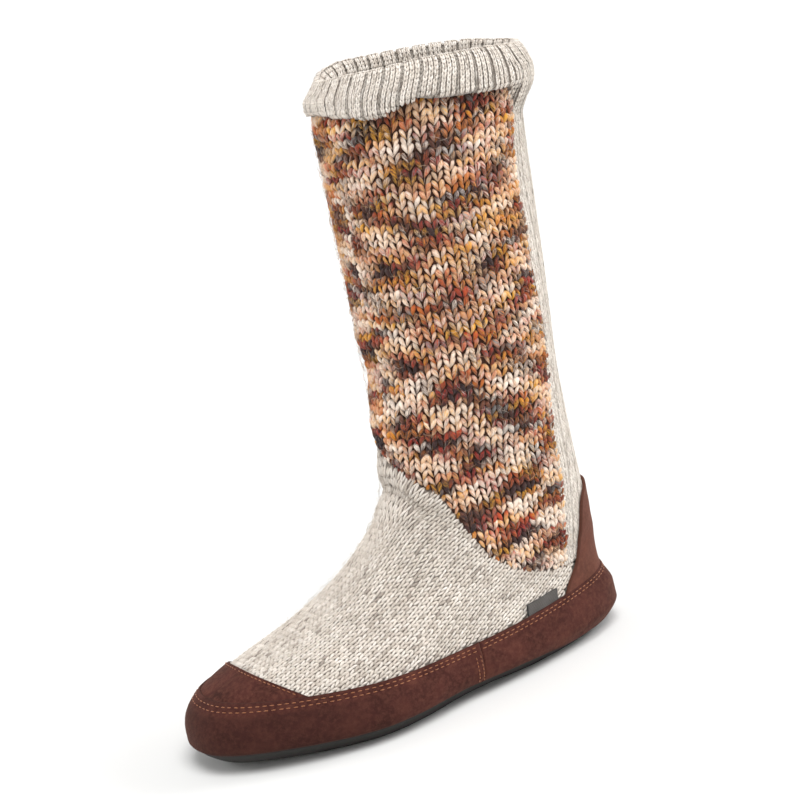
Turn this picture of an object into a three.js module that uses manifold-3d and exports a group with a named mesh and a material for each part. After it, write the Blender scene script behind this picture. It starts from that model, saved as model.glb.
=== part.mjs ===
// Slouch boot: one left slipper boot of knitted wool with a suede band, toe cap and counter.
// Millimetres, +Z up, +X to the toe, +Y to the wearer's left (the outer side), floor at Z = 0.
import * as THREE from 'three';
import { mergeVertices } from 'three/addons/utils/BufferGeometryUtils.js';
import Module from 'manifold-3d';

const wasm = await Module();
wasm.setup();

// Driving sizes
const HEIGHT = 337; // floor to the top of the folded cuff
const KNIT_WALL = 3; // fine knit of the foot and back, with its lining
const CHUNKY_RISE = 1; // how far the chunky knit stands out past the fine knit
const SUEDE_THICK = 1.4; // toe cap and heel counter
const BAND_THICK = 2; // suede band round the base
const OUTSOLE_THICK = 8;
const INSOLE_THICK = 5;
const GAP = 0.3; // space between pieces that meet

// How the foot departs from a plain loft
const ROUNDNESS = 2.35; // exponent of the plan outline, 2 being an ellipse
const STATION = { heel: 0.13, waist: 0.45, ball: 0.72 }; // share of the length
const TOE_TURN = { shift: 10, from: 0.55 }; // how far the toe's tip lies to the inner side, and from where
const ARCH_HOLLOW = 0.12; // share of the half width taken off the inner waist
const ARCH_SPREAD = 0.16; // reach of that hollow, as a share of the length
const FOOT_TOP = { from: 40, to: 110 }; // heights where toe turn and arch fade out
const LEVEL_NORMAL = { from: OUTSOLE_THICK + GAP, to: 24 }; // below, pieces stack level off the skin
const TOE_SPRING = { rise: 3.6, from: 175, to: 262 }; // lift of the toe, and where along X

// Plan sections of the skin: ends along X, and half widths at the three stations
const SECTIONS = [
  { z: 0, back: 10, front: 251.5, heel: 23, waist: 32, ball: 39 },
  { z: 6, back: 3.5, front: 259, heel: 28, waist: 38, ball: 45.5 },
  { z: 13, back: -2.5, front: 260.3, heel: 30.5, waist: 42, ball: 49 },
  { z: 23, back: -2, front: 258, heel: 30, waist: 42, ball: 48.5 },
  { z: 33, back: 3, front: 248.5, heel: 28, waist: 40, ball: 45 },
  { z: 42, back: 4.5, front: 229, heel: 26.5, waist: 38.5, ball: 41.5 },
  { z: 54, back: 5, front: 196.5, heel: 26, waist: 36.5, ball: 37 },
  { z: 66, back: 5.7, front: 171.5, heel: 27.5, waist: 35, ball: 33 },
  { z: 80, back: 7.2, front: 151.5, heel: 29, waist: 34.5, ball: 30.5 },
  { z: 98, back: 9.7, front: 134.5, heel: 30.5, waist: 36, ball: 29.5 },
  { z: 118, back: 12.2, front: 125.3, heel: 32, waist: 38.5, ball: 31.7 },
  { z: 140, back: 13.6, front: 121.5, heel: 32.3, waist: 42, ball: 35.5 },
  { z: 165, back: 15, front: 118.8, heel: 32.8, waist: 44.5, ball: 40 },
  { z: 200, back: 14.6, front: 118.5, heel: 34, waist: 47.3, ball: 43.3 },
  { z: 250, back: 12.2, front: 119.6, heel: 35.5, waist: 49.3, ball: 45.3 },
  { z: 300, back: 9.8, front: 120.3, heel: 36.2, waist: 50.3, ball: 46.3 },
  { z: HEIGHT, back: 7.6, front: 119, heel: 37, waist: 51.3, ball: 47.3 },
];

// Lower edge of the chunky knit, highest just inside the front: degrees of turn from the back, and height
const THROAT = [
  { turn: 0, z: 45 },
  { turn: 53, z: 47.5 },
  { turn: 75, z: 55.5 },
  { turn: 86, z: 63 },
  { turn: 101, z: 80.5 },
  { turn: 120, z: 99.5 },
  { turn: 134, z: 111 },
  { turn: 153, z: 118.2 },
  { turn: 175, z: 126.5 },
  { turn: 197, z: 135 },
  { turn: 210, z: 137 },
  { turn: 225, z: 131 },
  { turn: 242, z: 115 },
  { turn: 259, z: 91 },
  { turn: 275, z: 66 },
  { turn: 288, z: 54.5 },
  { turn: 307, z: 47.5 },
  { turn: 360, z: 45 },
];

// Seam lines in side view, before the toe is sprung
const BACK_LINE = [ // rear edge of the chunky knit, from the heel to the cuff
  { x: 40, z: 20 },
  { x: 40.5, z: 130 },
  { x: 37, z: 180 },
  { x: 44, z: 260 },
  { x: 39, z: HEIGHT },
];
const CAP_LINE = [ // rear edge of the toe cap, up to the ridge of the toe
  { x: 204, z: 27 },
  { x: 219, z: 36.8 },
  { x: 236, z: 47.5 },
];
const COUNTER_LINE = [ // front and top edge of the heel counter
  { x: 54, z: 24 },
  { x: 42, z: 37 },
  { x: 32, z: 47 },
  { x: 27.5, z: 62 },
  { x: 24.5, z: 78 },
  { x: 20, z: 87 },
  { x: 8, z: 92 },
  { x: -30, z: 93 },
];
const BAND_TOP = [ // upper edge of the suede band, a little higher round the heel
  { x: -30, z: 37.5 },
  { x: 40, z: 33.2 },
  { x: 115, z: 30.5 },
  { x: 170, z: 31.8 },
  { x: 290, z: 33.2 },
];
const BAND_FOOT = [ // lower edge of the suede band, hanging lower round the heel
  { x: -30, z: 3.5 },
  { x: 43, z: 4.6 },
  { x: 110, z: OUTSOLE_THICK + GAP },
  { x: 290, z: OUTSOLE_THICK + GAP },
];
const SIDE_SEAM = 114; // where the band's two lengths meet, along X
const TAB = { from: 53, to: 77, top: 38, thick: 1.5 }; // plain tab tucked in above the band

// The cuff is the shaft's knit folded outwards. Its section, as rise off the skin, height, and the share of
// the flap's longer fall over the back panel that each corner takes
const CUFF = { drop: 22, seat: 16.7, flap: CHUNKY_RISE + GAP, rise: 5.2 };
const BACK_FALL = { drop: 14, from: 50, to: 66 }; // degrees of turn where the longer flap ends
const CUFF_SECTION = [
  { rise: CUFF.flap, z: HEIGHT - CUFF.drop, fall: 1 },
  { rise: 0.7 * CUFF.rise, z: HEIGHT - CUFF.drop, fall: 1 },
  { rise: 0.96 * CUFF.rise, z: HEIGHT - 18.5, fall: 0.7 },
  { rise: CUFF.rise, z: HEIGHT - 12.5, fall: 0 },
  { rise: 0.75 * CUFF.rise, z: HEIGHT - 6, fall: 0 },
  { rise: 0.35 * CUFF.rise, z: HEIGHT - 1.8, fall: 0 },
  { rise: -0.1 * CUFF.rise, z: HEIGHT, fall: 0 },
  { rise: -0.7 * KNIT_WALL, z: HEIGHT - 1.6, fall: 0 },
  { rise: -KNIT_WALL, z: HEIGHT - 5.5, fall: 0 },
  { rise: -KNIT_WALL, z: HEIGHT - CUFF.seat, fall: 0 },
  { rise: CUFF.flap, z: HEIGHT - CUFF.seat, fall: 0 },
];
const SHAFT_TOP = HEIGHT - CUFF.seat - GAP;

// The outsole carries the skin on under the band, row by row, and thins under the arch
const SOLE_ROWS = [0, 2.5, 5, OUTSOLE_THICK];
const SOLE_ARCH = { rise: 1.5, from: 70, to: 145 };

// Facets: columns round the boot, and the step between rows up to each height
const AROUND = 42;
const ROW_STEPS = [
  { upTo: 15, step: 2.5 },
  { upTo: 50, step: 5 },
  { upTo: 122, step: 9 },
  { upTo: HEIGHT, step: 24 },
];
const LINE_POINTS = 12; // points along each seam line
const THROAT_ROWS = 12; // rows of the cutter that follows the throat
const THROAT_REACH = 8; // rise of that cutter to each side of the skin
const REACH = 400; // straight cutters run past the boot by this much
const SMALL = { z: 0.05, turn: 1e-3 }; // steps that the skin's normal is measured over
const SAME_POINT = 1e-4; // points nearer than this are one

const { smoothstep, lerp, radToDeg } = THREE.MathUtils;
const COLUMNS = ['back', 'front', 'heel', 'waist', 'ball'];
const sections = new THREE.CubicInterpolant(
  SECTIONS.map((row) => row.z),
  SECTIONS.flatMap((row) => COLUMNS.map((name) => row[name])),
  COLUMNS.length,
);

const throat = new THREE.CubicInterpolant(
  THROAT.map((row) => row.turn),
  THROAT.map((row) => row.z),
  1,
);

// Half width of the plain outline at a share of the length, for a half width of 1
function bow(share) {
  return (1 - Math.abs(2 * share - 1) ** ROUNDNESS) ** (1 / ROUNDNESS);
}

// Point of the skin at a height and a turn: 0 at the back, a quarter at the outer side, half at the toe
function skin(z, turn) {
  const [back, front, heel, waist, ball] = sections.evaluate(z);
  const c = Math.cos(turn);
  const s = Math.sin(turn);
  const share = (1 - Math.sign(c) * Math.abs(c) ** (2 / ROUNDNESS)) / 2;
  const side = Math.sign(s) * Math.abs(s) ** (2 / ROUNDNESS);
  const rear = lerp(
    heel / bow(STATION.heel),
    waist / bow(STATION.waist),
    smoothstep(share, STATION.heel, STATION.waist),
  );
  let half = lerp(rear, ball / bow(STATION.ball), smoothstep(share, STATION.waist, STATION.ball));
  const foot = 1 - smoothstep(z, FOOT_TOP.from, FOOT_TOP.to);
  if (side < 0) {
    half *= 1 - ARCH_HOLLOW * foot * Math.exp(-(((share - STATION.waist) / ARCH_SPREAD) ** 2));
  }
  const turned = TOE_TURN.shift * foot * smoothstep(share, TOE_TURN.from, 1);
  return new THREE.Vector3(lerp(back, front, share), side * half - turned, z);
}

// Point at a rise off the skin along its normal, which lies level where the skin meets the sole
function lifted(z, turn, rise) {
  const up = skin(z + SMALL.z, turn).sub(skin(z - SMALL.z, turn));
  const round = skin(z, turn + SMALL.turn).sub(skin(z, turn - SMALL.turn));
  const normal = up.cross(round).normalize();
  normal.z *= smoothstep(z, LEVEL_NORMAL.from, LEVEL_NORMAL.to);
  return skin(z, turn).addScaledVector(normal.normalize(), rise);
}

function solid(geometry) {
  geometry.deleteAttribute('normal');
  geometry.deleteAttribute('uv');
  const merged = mergeVertices(geometry, SAME_POINT);
  return new wasm.Manifold(new wasm.Mesh({
    numProp: 3,
    vertProperties: merged.attributes.position.array,
    triVerts: Uint32Array.from(merged.index.array),
  }));
}

// Closed mesh of rows of points, each row running round the boot: joined in turn, and to the first if a ring
function rowsSolid(rows, isRing) {
  const index = [];
  const last = isRing ? rows.length : rows.length - 1;
  for (let i = 0; i < last; i++) {
    const low = i * AROUND;
    const high = ((i + 1) % rows.length) * AROUND;
    for (let k = 0; k < AROUND; k++) {
      const next = (k + 1) % AROUND;
      index.push(low + k, high + k, low + next, low + next, high + k, high + next);
    }
  }
  if (!isRing) {
    const top = last * AROUND;
    for (let k = 0; k < AROUND / 2; k++) {
      const across = [k, k + 1, AROUND - k - 1, (AROUND - k) % AROUND];
      const [a, b, c, d] = across;
      if (a !== d) {
        index.push(a, b, d, top + b, top + a, top + d);
      }
      if (b !== c) {
        index.push(b, c, d, top + c, top + b, top + d);
      }
    }
  }
  const geometry = new THREE.BufferGeometry().setFromPoints(rows.flat());
  geometry.setIndex(index);
  return solid(geometry);
}

function turns(makePoint) {
  return Array.from({ length: AROUND }, (_, k) => makePoint((2 * Math.PI * k) / AROUND));
}

function heights(from, to) {
  const list = [from];
  let z = 0;
  while (z < to) {
    if (z > from) list.push(z);
    z += ROW_STEPS.find((row) => z < row.upTo).step;
  }
  return [...list, to];
}

// Wall between two rises off the skin
function wall(from, to, outer, inner) {
  const levels = heights(from, to);
  const outside = levels.map((z) => turns((turn) => lifted(z, turn, outer)));
  const inside = levels.map((z) => turns((turn) => lifted(z, turn, inner)));
  return rowsSolid([...outside, ...inside.reverse()], true);
}

// Points along a seam line, moved off it to its left by a distance
function seam(table, away) {
  const curve = new THREE.SplineCurve(table.map((row) => new THREE.Vector2(row.x, row.z)));
  return curve.getPoints(LINE_POINTS).map((point, i) => {
    const tangent = curve.getTangent(i / LINE_POINTS);
    return new THREE.Vector2(point.x - away * tangent.y, point.y + away * tangent.x);
  });
}

// Prism across the boot from an outline in side view
function sidePrism(outline, inner = -REACH) {
  const geometry = new THREE.ExtrudeGeometry(new THREE.Shape(outline), {
    depth: REACH - inner,
    bevelEnabled: false,
  });
  geometry.rotateX(Math.PI / 2);
  geometry.translate(0, REACH, 0);
  return solid(geometry);
}

// Everything to one side of a seam line, out to a far corner each way
function beyond(table, away, farX, farZ) {
  const line = seam(table, away);
  const start = line[0];
  const end = line[line.length - 1];
  const corners = farX === null
    ? [new THREE.Vector2(end.x, farZ), new THREE.Vector2(start.x, farZ)]
    : [new THREE.Vector2(farX, end.y), new THREE.Vector2(farX, start.y)];
  return sidePrism([...line, ...corners]);
}

// Ring to both sides of the skin, from the throat moved up by a distance to the top of the boot
function aboveThroat(away) {
  const rowAt = (i, rise) => turns((turn) => {
    const [edge] = throat.evaluate(radToDeg(turn));
    return lifted(lerp(edge + away, HEIGHT, i / THROAT_ROWS), turn, rise);
  });
  const count = Array.from({ length: THROAT_ROWS + 1 }, (_, i) => i);
  const outside = count.map((i) => rowAt(i, THROAT_REACH));
  const inside = count.map((i) => rowAt(i, -THROAT_REACH));
  return rowsSolid([...outside, ...inside.reverse()], true);
}

const above = (table) => beyond(table, GAP / 2, null, REACH);
const below = (table) => beyond(table, -GAP / 2, null, -REACH);
const ahead = (table) => beyond(table, -GAP / 2, REACH, null);
const behind = (table) => beyond(table, GAP / 2, -REACH, null);

function box(fromX, toX, fromZ, toZ, inner) {
  const outline = [[fromX, fromZ], [toX, fromZ], [toX, toZ], [fromX, toZ]];
  return sidePrism(outline.map(([x, z]) => new THREE.Vector2(x, z)), inner);
}

// The pieces
const soleTop = OUTSOLE_THICK + GAP;
const throatLow = THROAT[0].z;
const throatHigh = Math.max(...THROAT.map((row) => row.z));

function makeUpper() {
  return wall(soleTop, throatHigh + 10, 0, -KNIT_WALL).subtract(aboveThroat(-GAP / 2));
}

function makeShaft() {
  const leg = wall(throatLow, SHAFT_TOP, CHUNKY_RISE, -KNIT_WALL);
  return leg.intersect(aboveThroat(GAP / 2)).intersect(ahead(BACK_LINE));
}

function makeBackPanel() {
  const leg = wall(throatLow, SHAFT_TOP, 0, -KNIT_WALL);
  return leg.intersect(aboveThroat(GAP / 2)).intersect(behind(BACK_LINE));
}

function makeCuff() {
  return rowsSolid(CUFF_SECTION.map((row) => turns((turn) => {
    const fromBack = radToDeg(Math.min(turn, 2 * Math.PI - turn));
    const fall = BACK_FALL.drop * (1 - smoothstep(fromBack, BACK_FALL.from, BACK_FALL.to));
    return lifted(row.z - row.fall * fall, turn, row.rise);
  })), true);
}

function makeBand(side) {
  const band = wall(BAND_FOOT[0].z - 1, BAND_TOP[0].z + 2, GAP + BAND_THICK, GAP);
  return band.intersect(below(BAND_TOP)).intersect(above(BAND_FOOT)).intersect(side);
}

function makeToeCap() {
  const shell = wall(CAP_LINE[0].z, CAP_LINE[2].z + 8, GAP + SUEDE_THICK, GAP);
  return shell.intersect(above(BAND_TOP)).intersect(ahead(CAP_LINE));
}

function makeCounter() {
  const shell = wall(COUNTER_LINE[0].z, COUNTER_LINE[7].z + 6, GAP + SUEDE_THICK, GAP);
  return shell.intersect(above(BAND_TOP)).intersect(below(COUNTER_LINE.toReversed()));
}

function makeTab() {
  const shell = wall(BAND_TOP[2].z - 2, TAB.top + 3, GAP + TAB.thick, GAP);
  return shell.intersect(above(BAND_TOP)).intersect(box(TAB.from, TAB.to, 0, TAB.top, 0));
}

function makeOutsole() {
  const middle = (SOLE_ARCH.from + SOLE_ARCH.to) / 2;
  return rowsSolid(SOLE_ROWS.map((z) => turns((turn) => {
    const point = skin(z, turn);
    const { x } = point;
    const arch = smoothstep(x, SOLE_ARCH.from, middle) - smoothstep(x, middle, SOLE_ARCH.to);
    point.z += SOLE_ARCH.rise * arch * (1 - smoothstep(z, 0, OUTSOLE_THICK));
    return point;
  })), false);
}

function makeInsole() {
  const levels = heights(soleTop, soleTop + INSOLE_THICK);
  return rowsSolid(levels.map((z) => turns((turn) => lifted(z, turn, -KNIT_WALL - GAP))), false);
}

// Mesh of a piece with the toe sprung
function makeMesh(name, piece, color, roughness) {
  const { vertProperties, triVerts } = piece.getMesh();
  const geometry = new THREE.BufferGeometry();
  geometry.setAttribute('position', new THREE.BufferAttribute(Float32Array.from(vertProperties), 3));
  geometry.setIndex(Array.from(triVerts));
  const position = geometry.attributes.position;
  for (let i = 0; i < position.count; i++) {
    const spring = TOE_SPRING.rise * smoothstep(position.getX(i), TOE_SPRING.from, TOE_SPRING.to);
    position.setZ(i, position.getZ(i) + spring);
  }
  geometry.computeVertexNormals();
  const mesh = new THREE.Mesh(geometry, new THREE.MeshStandardMaterial({ color, roughness, metalness: 0 }));
  mesh.name = name;
  return mesh;
}

const GREY_KNIT = 0xcbc3b7;
const SUEDE = 0x5e352c;
const frontOfSeam = box(SIDE_SEAM + GAP / 2, REACH, -REACH, REACH);
const rearOfSeam = box(-REACH, SIDE_SEAM - GAP / 2, -REACH, REACH);

const pieces = new THREE.Group();
pieces.add(
  makeMesh('outsole', makeOutsole(), 0x38383a, 0.9),
  makeMesh('insole', makeInsole(), 0xd6ccbd, 0.95),
  makeMesh('upper', makeUpper(), GREY_KNIT, 0.95),
  makeMesh('shaft', makeShaft(), 0x9c7358, 0.95),
  makeMesh('back_panel', makeBackPanel(), GREY_KNIT, 0.95),
  makeMesh('cuff', makeCuff(), GREY_KNIT, 0.95),
  makeMesh('toe_cap', makeToeCap(), SUEDE, 0.9),
  makeMesh('heel_counter', makeCounter(), SUEDE, 0.9),
  makeMesh('band_front', makeBand(frontOfSeam), SUEDE, 0.9),
  makeMesh('band_rear', makeBand(rearOfSeam), SUEDE, 0.9),
  makeMesh('side_tab', makeTab(), 0x57514d, 0.9),
);

// The origin is on the floor, under the middle of the boot's length and width
const middle = new THREE.Box3().setFromObject(pieces).getCenter(new THREE.Vector3());
pieces.position.set(-middle.x, -middle.y, 0);

const boot = new THREE.Group();
boot.add(pieces);

export default boot;
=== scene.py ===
"""Slouch boot: the knit, suede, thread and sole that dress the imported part.

Lengths here are millimetres in the form's own frame: +X to the toe, +Y to the outer side, +Z up, the heel
near x = 0. They become metres of the row frame when a mesh is made. Turn runs round the boot from 0 at the
back, over the outer side, to half a turn at the toe, and rise is the distance off the skin.
"""
import math

import bpy
import numpy as np
from mathutils import Matrix, Vector


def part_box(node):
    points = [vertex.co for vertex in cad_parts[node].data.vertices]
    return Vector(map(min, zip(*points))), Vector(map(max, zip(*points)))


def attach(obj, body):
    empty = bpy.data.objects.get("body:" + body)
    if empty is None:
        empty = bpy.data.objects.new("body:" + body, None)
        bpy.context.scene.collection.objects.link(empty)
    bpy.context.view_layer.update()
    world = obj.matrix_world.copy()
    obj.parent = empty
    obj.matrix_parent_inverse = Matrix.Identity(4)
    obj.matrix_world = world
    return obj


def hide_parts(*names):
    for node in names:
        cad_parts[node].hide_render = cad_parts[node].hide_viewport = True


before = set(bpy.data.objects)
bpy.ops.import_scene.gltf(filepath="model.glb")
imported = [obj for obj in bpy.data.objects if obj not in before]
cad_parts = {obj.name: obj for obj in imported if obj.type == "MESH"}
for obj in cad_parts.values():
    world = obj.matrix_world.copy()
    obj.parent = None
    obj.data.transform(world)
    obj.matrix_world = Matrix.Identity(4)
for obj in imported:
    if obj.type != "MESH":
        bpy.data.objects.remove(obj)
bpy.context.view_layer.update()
rng = np.random.default_rng(20)

# The form, as the part's source has it, apart from small shifts of the seam lines
HEIGHT = 337
OUTSOLE_THICK = 8
ROUNDNESS = 2.35
STATION_HEEL, STATION_WAIST, STATION_BALL = 0.13, 0.45, 0.72
TOE_TURN, TOE_TURN_FROM = 10, 0.55
ARCH_HOLLOW, ARCH_SPREAD = 0.12, 0.16
FOOT_TOP = (40, 110)
LEVEL_NORMAL = (8.3, 24)
TOE_SPRING, TOE_SPRING_SPAN = 3.6, (175, 262)
SIDE_SEAM = 114
TAB_SPAN, TAB_TOP = (53, 77), 38
SHAFT_TOP = 320

SECTIONS = np.array([  # height, back, front, and half widths at heel, waist and ball
    (0, 10, 251.5, 23, 32, 39),
    (6, 3.5, 259, 28, 38, 45.5),
    (13, -2.5, 260.3, 30.5, 42, 49),
    (23, -2, 258, 30, 42, 48.5),
    (33, 3, 248.5, 28, 40, 45),
    (42, 4.5, 229, 26.5, 38.5, 41.5),
    (54, 5, 196.5, 26, 36.5, 37),
    (66, 5.7, 171.5, 27.5, 35, 33),
    (80, 7.2, 151.5, 29, 34.5, 30.5),
    (98, 9.7, 134.5, 30.5, 36, 29.5),
    (118, 12.2, 125.3, 32, 38.5, 31.7),
    (140, 13.6, 121.5, 32.3, 42, 35.5),
    (165, 15, 118.8, 32.8, 44.5, 40),
    (200, 14.6, 118.5, 34, 47.3, 43.3),
    (250, 12.2, 119.6, 35.5, 49.3, 45.3),
    (300, 9.8, 120.3, 36.2, 50.3, 46.3),
    (HEIGHT, 7.6, 119, 37, 51.3, 47.3),
], float)
THROAT = np.array([  # degrees of turn, height
    (0, 45), (53, 47.5), (75, 55.5), (86, 63), (101, 80.5), (120, 99.5), (134, 111), (153, 118.2),
    (175, 126.5), (197, 135), (210, 137), (225, 131), (242, 115), (259, 91), (275, 66), (288, 54.5),
    (307, 47.5), (360, 45),
], float)

SEAM_LINES = {  # seen from the side: x, height
    "back": [(40, 20), (38, 95), (40, 130), (34, 178), (37.5, 215), (38, 236), (41, 266), (34.5, 304),
             (26, HEIGHT)],
    "cap": [(204, 27), (219, 36.8), (236, 47.5)],
    "counter": [(54, 24), (42, 37), (32, 47), (27.5, 62), (24.5, 77), (20, 84), (8, 88.5), (-30, 89.5)],
    "band_top": [(-30, 37.5), (40, 33.2), (115, 30.5), (170, 31.8), (290, 33.2)],
    "band_foot": [(-30, 3.5), (43, 4.6), (110, 8.3), (290, 8.3)],
}

# Creases, given one by one: points of turn and height, depth, width, and how far the cloth swells beside it
SHAFT_CREASES = [
    dict(line=[(122, 278), (134, 282), (146, 287), (159, 292), (174, 297), (204, 300)],
         depth=2.0, width=5, swell=1.3),
    dict(line=[(150, 276), (165, 281), (200, 290)], depth=0.9, width=4, swell=0.6),
    dict(line=[(125, 172), (150, 175), (180, 178), (215, 176), (235, 172)], depth=1.3, width=11, swell=0.7),
    dict(line=[(140, 196), (160, 199), (185, 203), (215, 204)], depth=0.7, width=5, swell=0.5),
    dict(line=[(95, 226), (120, 229), (150, 236), (175, 240)], depth=0.7, width=8, swell=0.4),
    dict(line=[(225, 284), (250, 276), (275, 272)], depth=1.4, width=6, swell=0.8),
    dict(line=[(205, 150), (235, 140), (262, 128)], depth=1.2, width=6, swell=0.7),
]
FOOT_CREASES = [
    dict(line=[(128, 92), (146, 103), (157, 110.5), (168, 114.5), (180, 115.5), (196, 114), (222, 106)],
         depth=1.7, width=5, swell=0.5),
    dict(line=[(205, 96), (222, 88), (240, 74)], depth=1.0, width=4, swell=0.5),
]
CREASE_FADE = (4, 14)  # degrees beyond and before a crease's end over which it fades
CREASE_BESIDE = 1.9  # where the cloth swells, in widths
BULGES = ((2.0, 145, 9), (0.8, 306, 8))  # rise, height and spread, over the throat and under the cuff
BULGE_TURN = 0.8
NORMAL_STEPS = (0.05, 1e-3)  # height and turn


def smoothstep(value, low, high):
    share = np.clip((np.asarray(value, float) - low) / (high - low), 0, 1)
    return share * share * (3 - 2 * share)


def lerp(low, high, share):
    return low + (high - low) * share


def bell(value, middle, spread=1):
    return np.exp(-(((value - middle) / spread) ** 2))


def window(value, rise, fall):
    return smoothstep(value, *rise) * (1 - smoothstep(value, *fall))


def grids(*values):
    return np.broadcast_arrays(*(np.asarray(value, float) for value in values))


def degrees_of(turn):
    return np.degrees(np.asarray(turn) % math.tau)


def arc_lengths(points):
    """Distance of each point from the first, along a line of points."""
    steps = np.linalg.norm(np.diff(points, axis=0), axis=-1)
    return np.concatenate([np.zeros((1, *steps.shape[1:])), np.cumsum(steps, axis=0)])


def unit(vectors):
    return vectors / np.maximum(np.linalg.norm(vectors, axis=-1, keepdims=True), 1e-12)


def hermite(at, knots, values):
    """Cubic through the values, each slope the mean of the two secants beside it."""
    steps = np.diff(knots)
    secants = np.diff(values, axis=0) / steps[:, None]
    slopes = np.concatenate([secants[:1], (secants[:-1] + secants[1:]) / 2, secants[-1:]])
    at = np.clip(at, knots[0], knots[-1])
    low = np.clip(np.searchsorted(knots, at, side="right") - 1, 0, len(knots) - 2)
    step = steps[low][..., None]
    t = (at - knots[low])[..., None] / step
    start = (2 * t**3 - 3 * t**2 + 1) * values[low] + (t**3 - 2 * t**2 + t) * step * slopes[low]
    end = (3 * t**2 - 2 * t**3) * values[low + 1] + (t**3 - t**2) * step * slopes[low + 1]
    return start + end


def spline(points, count=240):
    """Points along a Catmull-Rom curve through the given ones."""
    given = np.array(points, float)
    padded = np.concatenate([given[:1], given, given[-1:]])
    at = np.linspace(0, len(given) - 1, count)
    low = np.minimum(at.astype(int), len(given) - 2)
    t = (at - low)[:, None]
    p0, p1, p2, p3 = (padded[low + k] for k in range(4))
    return p1 + 0.5 * t * (p2 - p0 + t * (2 * p0 - 5 * p1 + 4 * p2 - p3 + t * (3 * (p1 - p2) + p3 - p0)))


LINES = {name: spline(points) for name, points in SEAM_LINES.items()}


def line_x(name, z):
    return np.interp(z, LINES[name][:, 1], LINES[name][:, 0])


def line_z(name, x):
    return np.interp(x, LINES[name][:, 0], LINES[name][:, 1])


def throat(turn):
    return hermite(degrees_of(turn), THROAT[:, 0], THROAT[:, 1:])[..., 0]


def bow(share):
    return (1 - abs(2 * share - 1) ** ROUNDNESS) ** (1 / ROUNDNESS)


def skin(z, turn):
    """Point of the outer form at a height and turn."""
    z, turn = grids(z, turn)
    back, front, heel, waist, ball = np.moveaxis(hermite(z, SECTIONS[:, 0], SECTIONS[:, 1:]), -1, 0)
    c, s = np.cos(turn), np.sin(turn)
    share = (1 - np.sign(c) * np.abs(c) ** (2 / ROUNDNESS)) / 2
    side = np.sign(s) * np.abs(s) ** (2 / ROUNDNESS)
    heel, waist, ball = heel / bow(STATION_HEEL), waist / bow(STATION_WAIST), ball / bow(STATION_BALL)
    half = lerp(heel, waist, smoothstep(share, STATION_HEEL, STATION_WAIST))
    half = lerp(half, ball, smoothstep(share, STATION_WAIST, STATION_BALL))
    foot = 1 - smoothstep(z, *FOOT_TOP)
    hollow = ARCH_HOLLOW * foot * bell(share, STATION_WAIST, ARCH_SPREAD)
    half = half * np.where(side < 0, 1 - hollow, 1)
    turned = TOE_TURN * foot * smoothstep(share, TOE_TURN_FROM, 1)
    return np.stack([lerp(back, front, share), side * half - turned, z], -1)


def skin_normal(z, turn):
    rise, swing = NORMAL_STEPS
    up = skin(z + rise, turn) - skin(z - rise, turn)
    around = skin(z, turn + swing) - skin(z, turn - swing)
    normal = unit(np.cross(up, around))
    normal[..., 2] *= smoothstep(z, *LEVEL_NORMAL)
    return unit(normal)


def lifted(z, turn, rise):
    z, turn, rise = grids(z, turn, rise)
    points = skin(z, turn) + skin_normal(z, turn) * rise[..., None]
    points[..., 2] += TOE_SPRING * smoothstep(points[..., 0], *TOE_SPRING_SPAN)
    return points


def turn_at(x, z):
    """Turn on the outer side where the skin reaches x at a height."""
    back, front = np.moveaxis(hermite(np.asarray(z, float), SECTIONS[:, 0], SECTIONS[:, 1:3]), -1, 0)
    c = 1 - 2 * np.clip((x - back) / (front - back), 0, 1)
    return np.arccos(np.sign(c) * np.abs(c) ** (ROUNDNESS / 2))


def relief(creases, z, turn):
    """Rise that the listed creases add."""
    degrees = degrees_of(turn)
    beyond, before = CREASE_FADE
    total = np.zeros(np.broadcast(z, degrees).shape)
    for crease in creases:
        line = np.array(crease["line"], float)
        off = (z - np.interp(degrees, line[:, 0], line[:, 1])) / crease["width"]
        first, last = line[0, 0], line[-1, 0]
        fade = window(degrees, (first - beyond, first + before), (last - before, last + beyond))
        beside = bell(off, CREASE_BESIDE) + bell(off, -CREASE_BESIDE)
        total = total + fade * (crease["swell"] * beside - crease["depth"] * bell(off, 0))
    return total


def slouch(z, turn):
    """Rise of the leg's soft shape: creases, a bulge over the throat and one under the cuff."""
    front = bell(np.asarray(turn) % math.tau, math.pi, BULGE_TURN)
    bulge = sum(rise * bell(z, middle, spread) for rise, middle, spread in BULGES)
    return relief(SHAFT_CREASES, z, turn) + front * bulge


# Distances round the boot, from the back to the toe on each side, as tables over height
ARC_RISE, ARC_STEP = 2, 0.5
ARC_Z = np.arange(20.0, HEIGHT + 3, ARC_RISE)
ARC_TURN = np.linspace(0, math.pi, 361)


def arc_tables(sign):
    arcs = arc_lengths(skin(ARC_Z[None, :], sign * ARC_TURN[:, None])).T
    even = np.arange(0, arcs.max() + ARC_STEP, ARC_STEP)
    return arcs, np.array([np.interp(even, row, ARC_TURN) for row in arcs])


ARCS = {sign: arc_tables(sign) for sign in (1, -1)}


def bilinear(table, row, column):
    row = np.clip(row, 0, table.shape[0] - 1.001)
    column = np.clip(column, 0, table.shape[1] - 1.001)
    i, j = row.astype(int), column.astype(int)
    a, b = row - i, column - j
    low = table[i, j] * (1 - b) + table[i, j + 1] * b
    high = table[i + 1, j] * (1 - b) + table[i + 1, j + 1] * b
    return low * (1 - a) + high * a


def arc_of(sign, z, turn):
    z, turn = grids(z, turn)
    return bilinear(ARCS[sign][0], (z - ARC_Z[0]) / ARC_RISE, turn / math.pi * (len(ARC_TURN) - 1))


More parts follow.
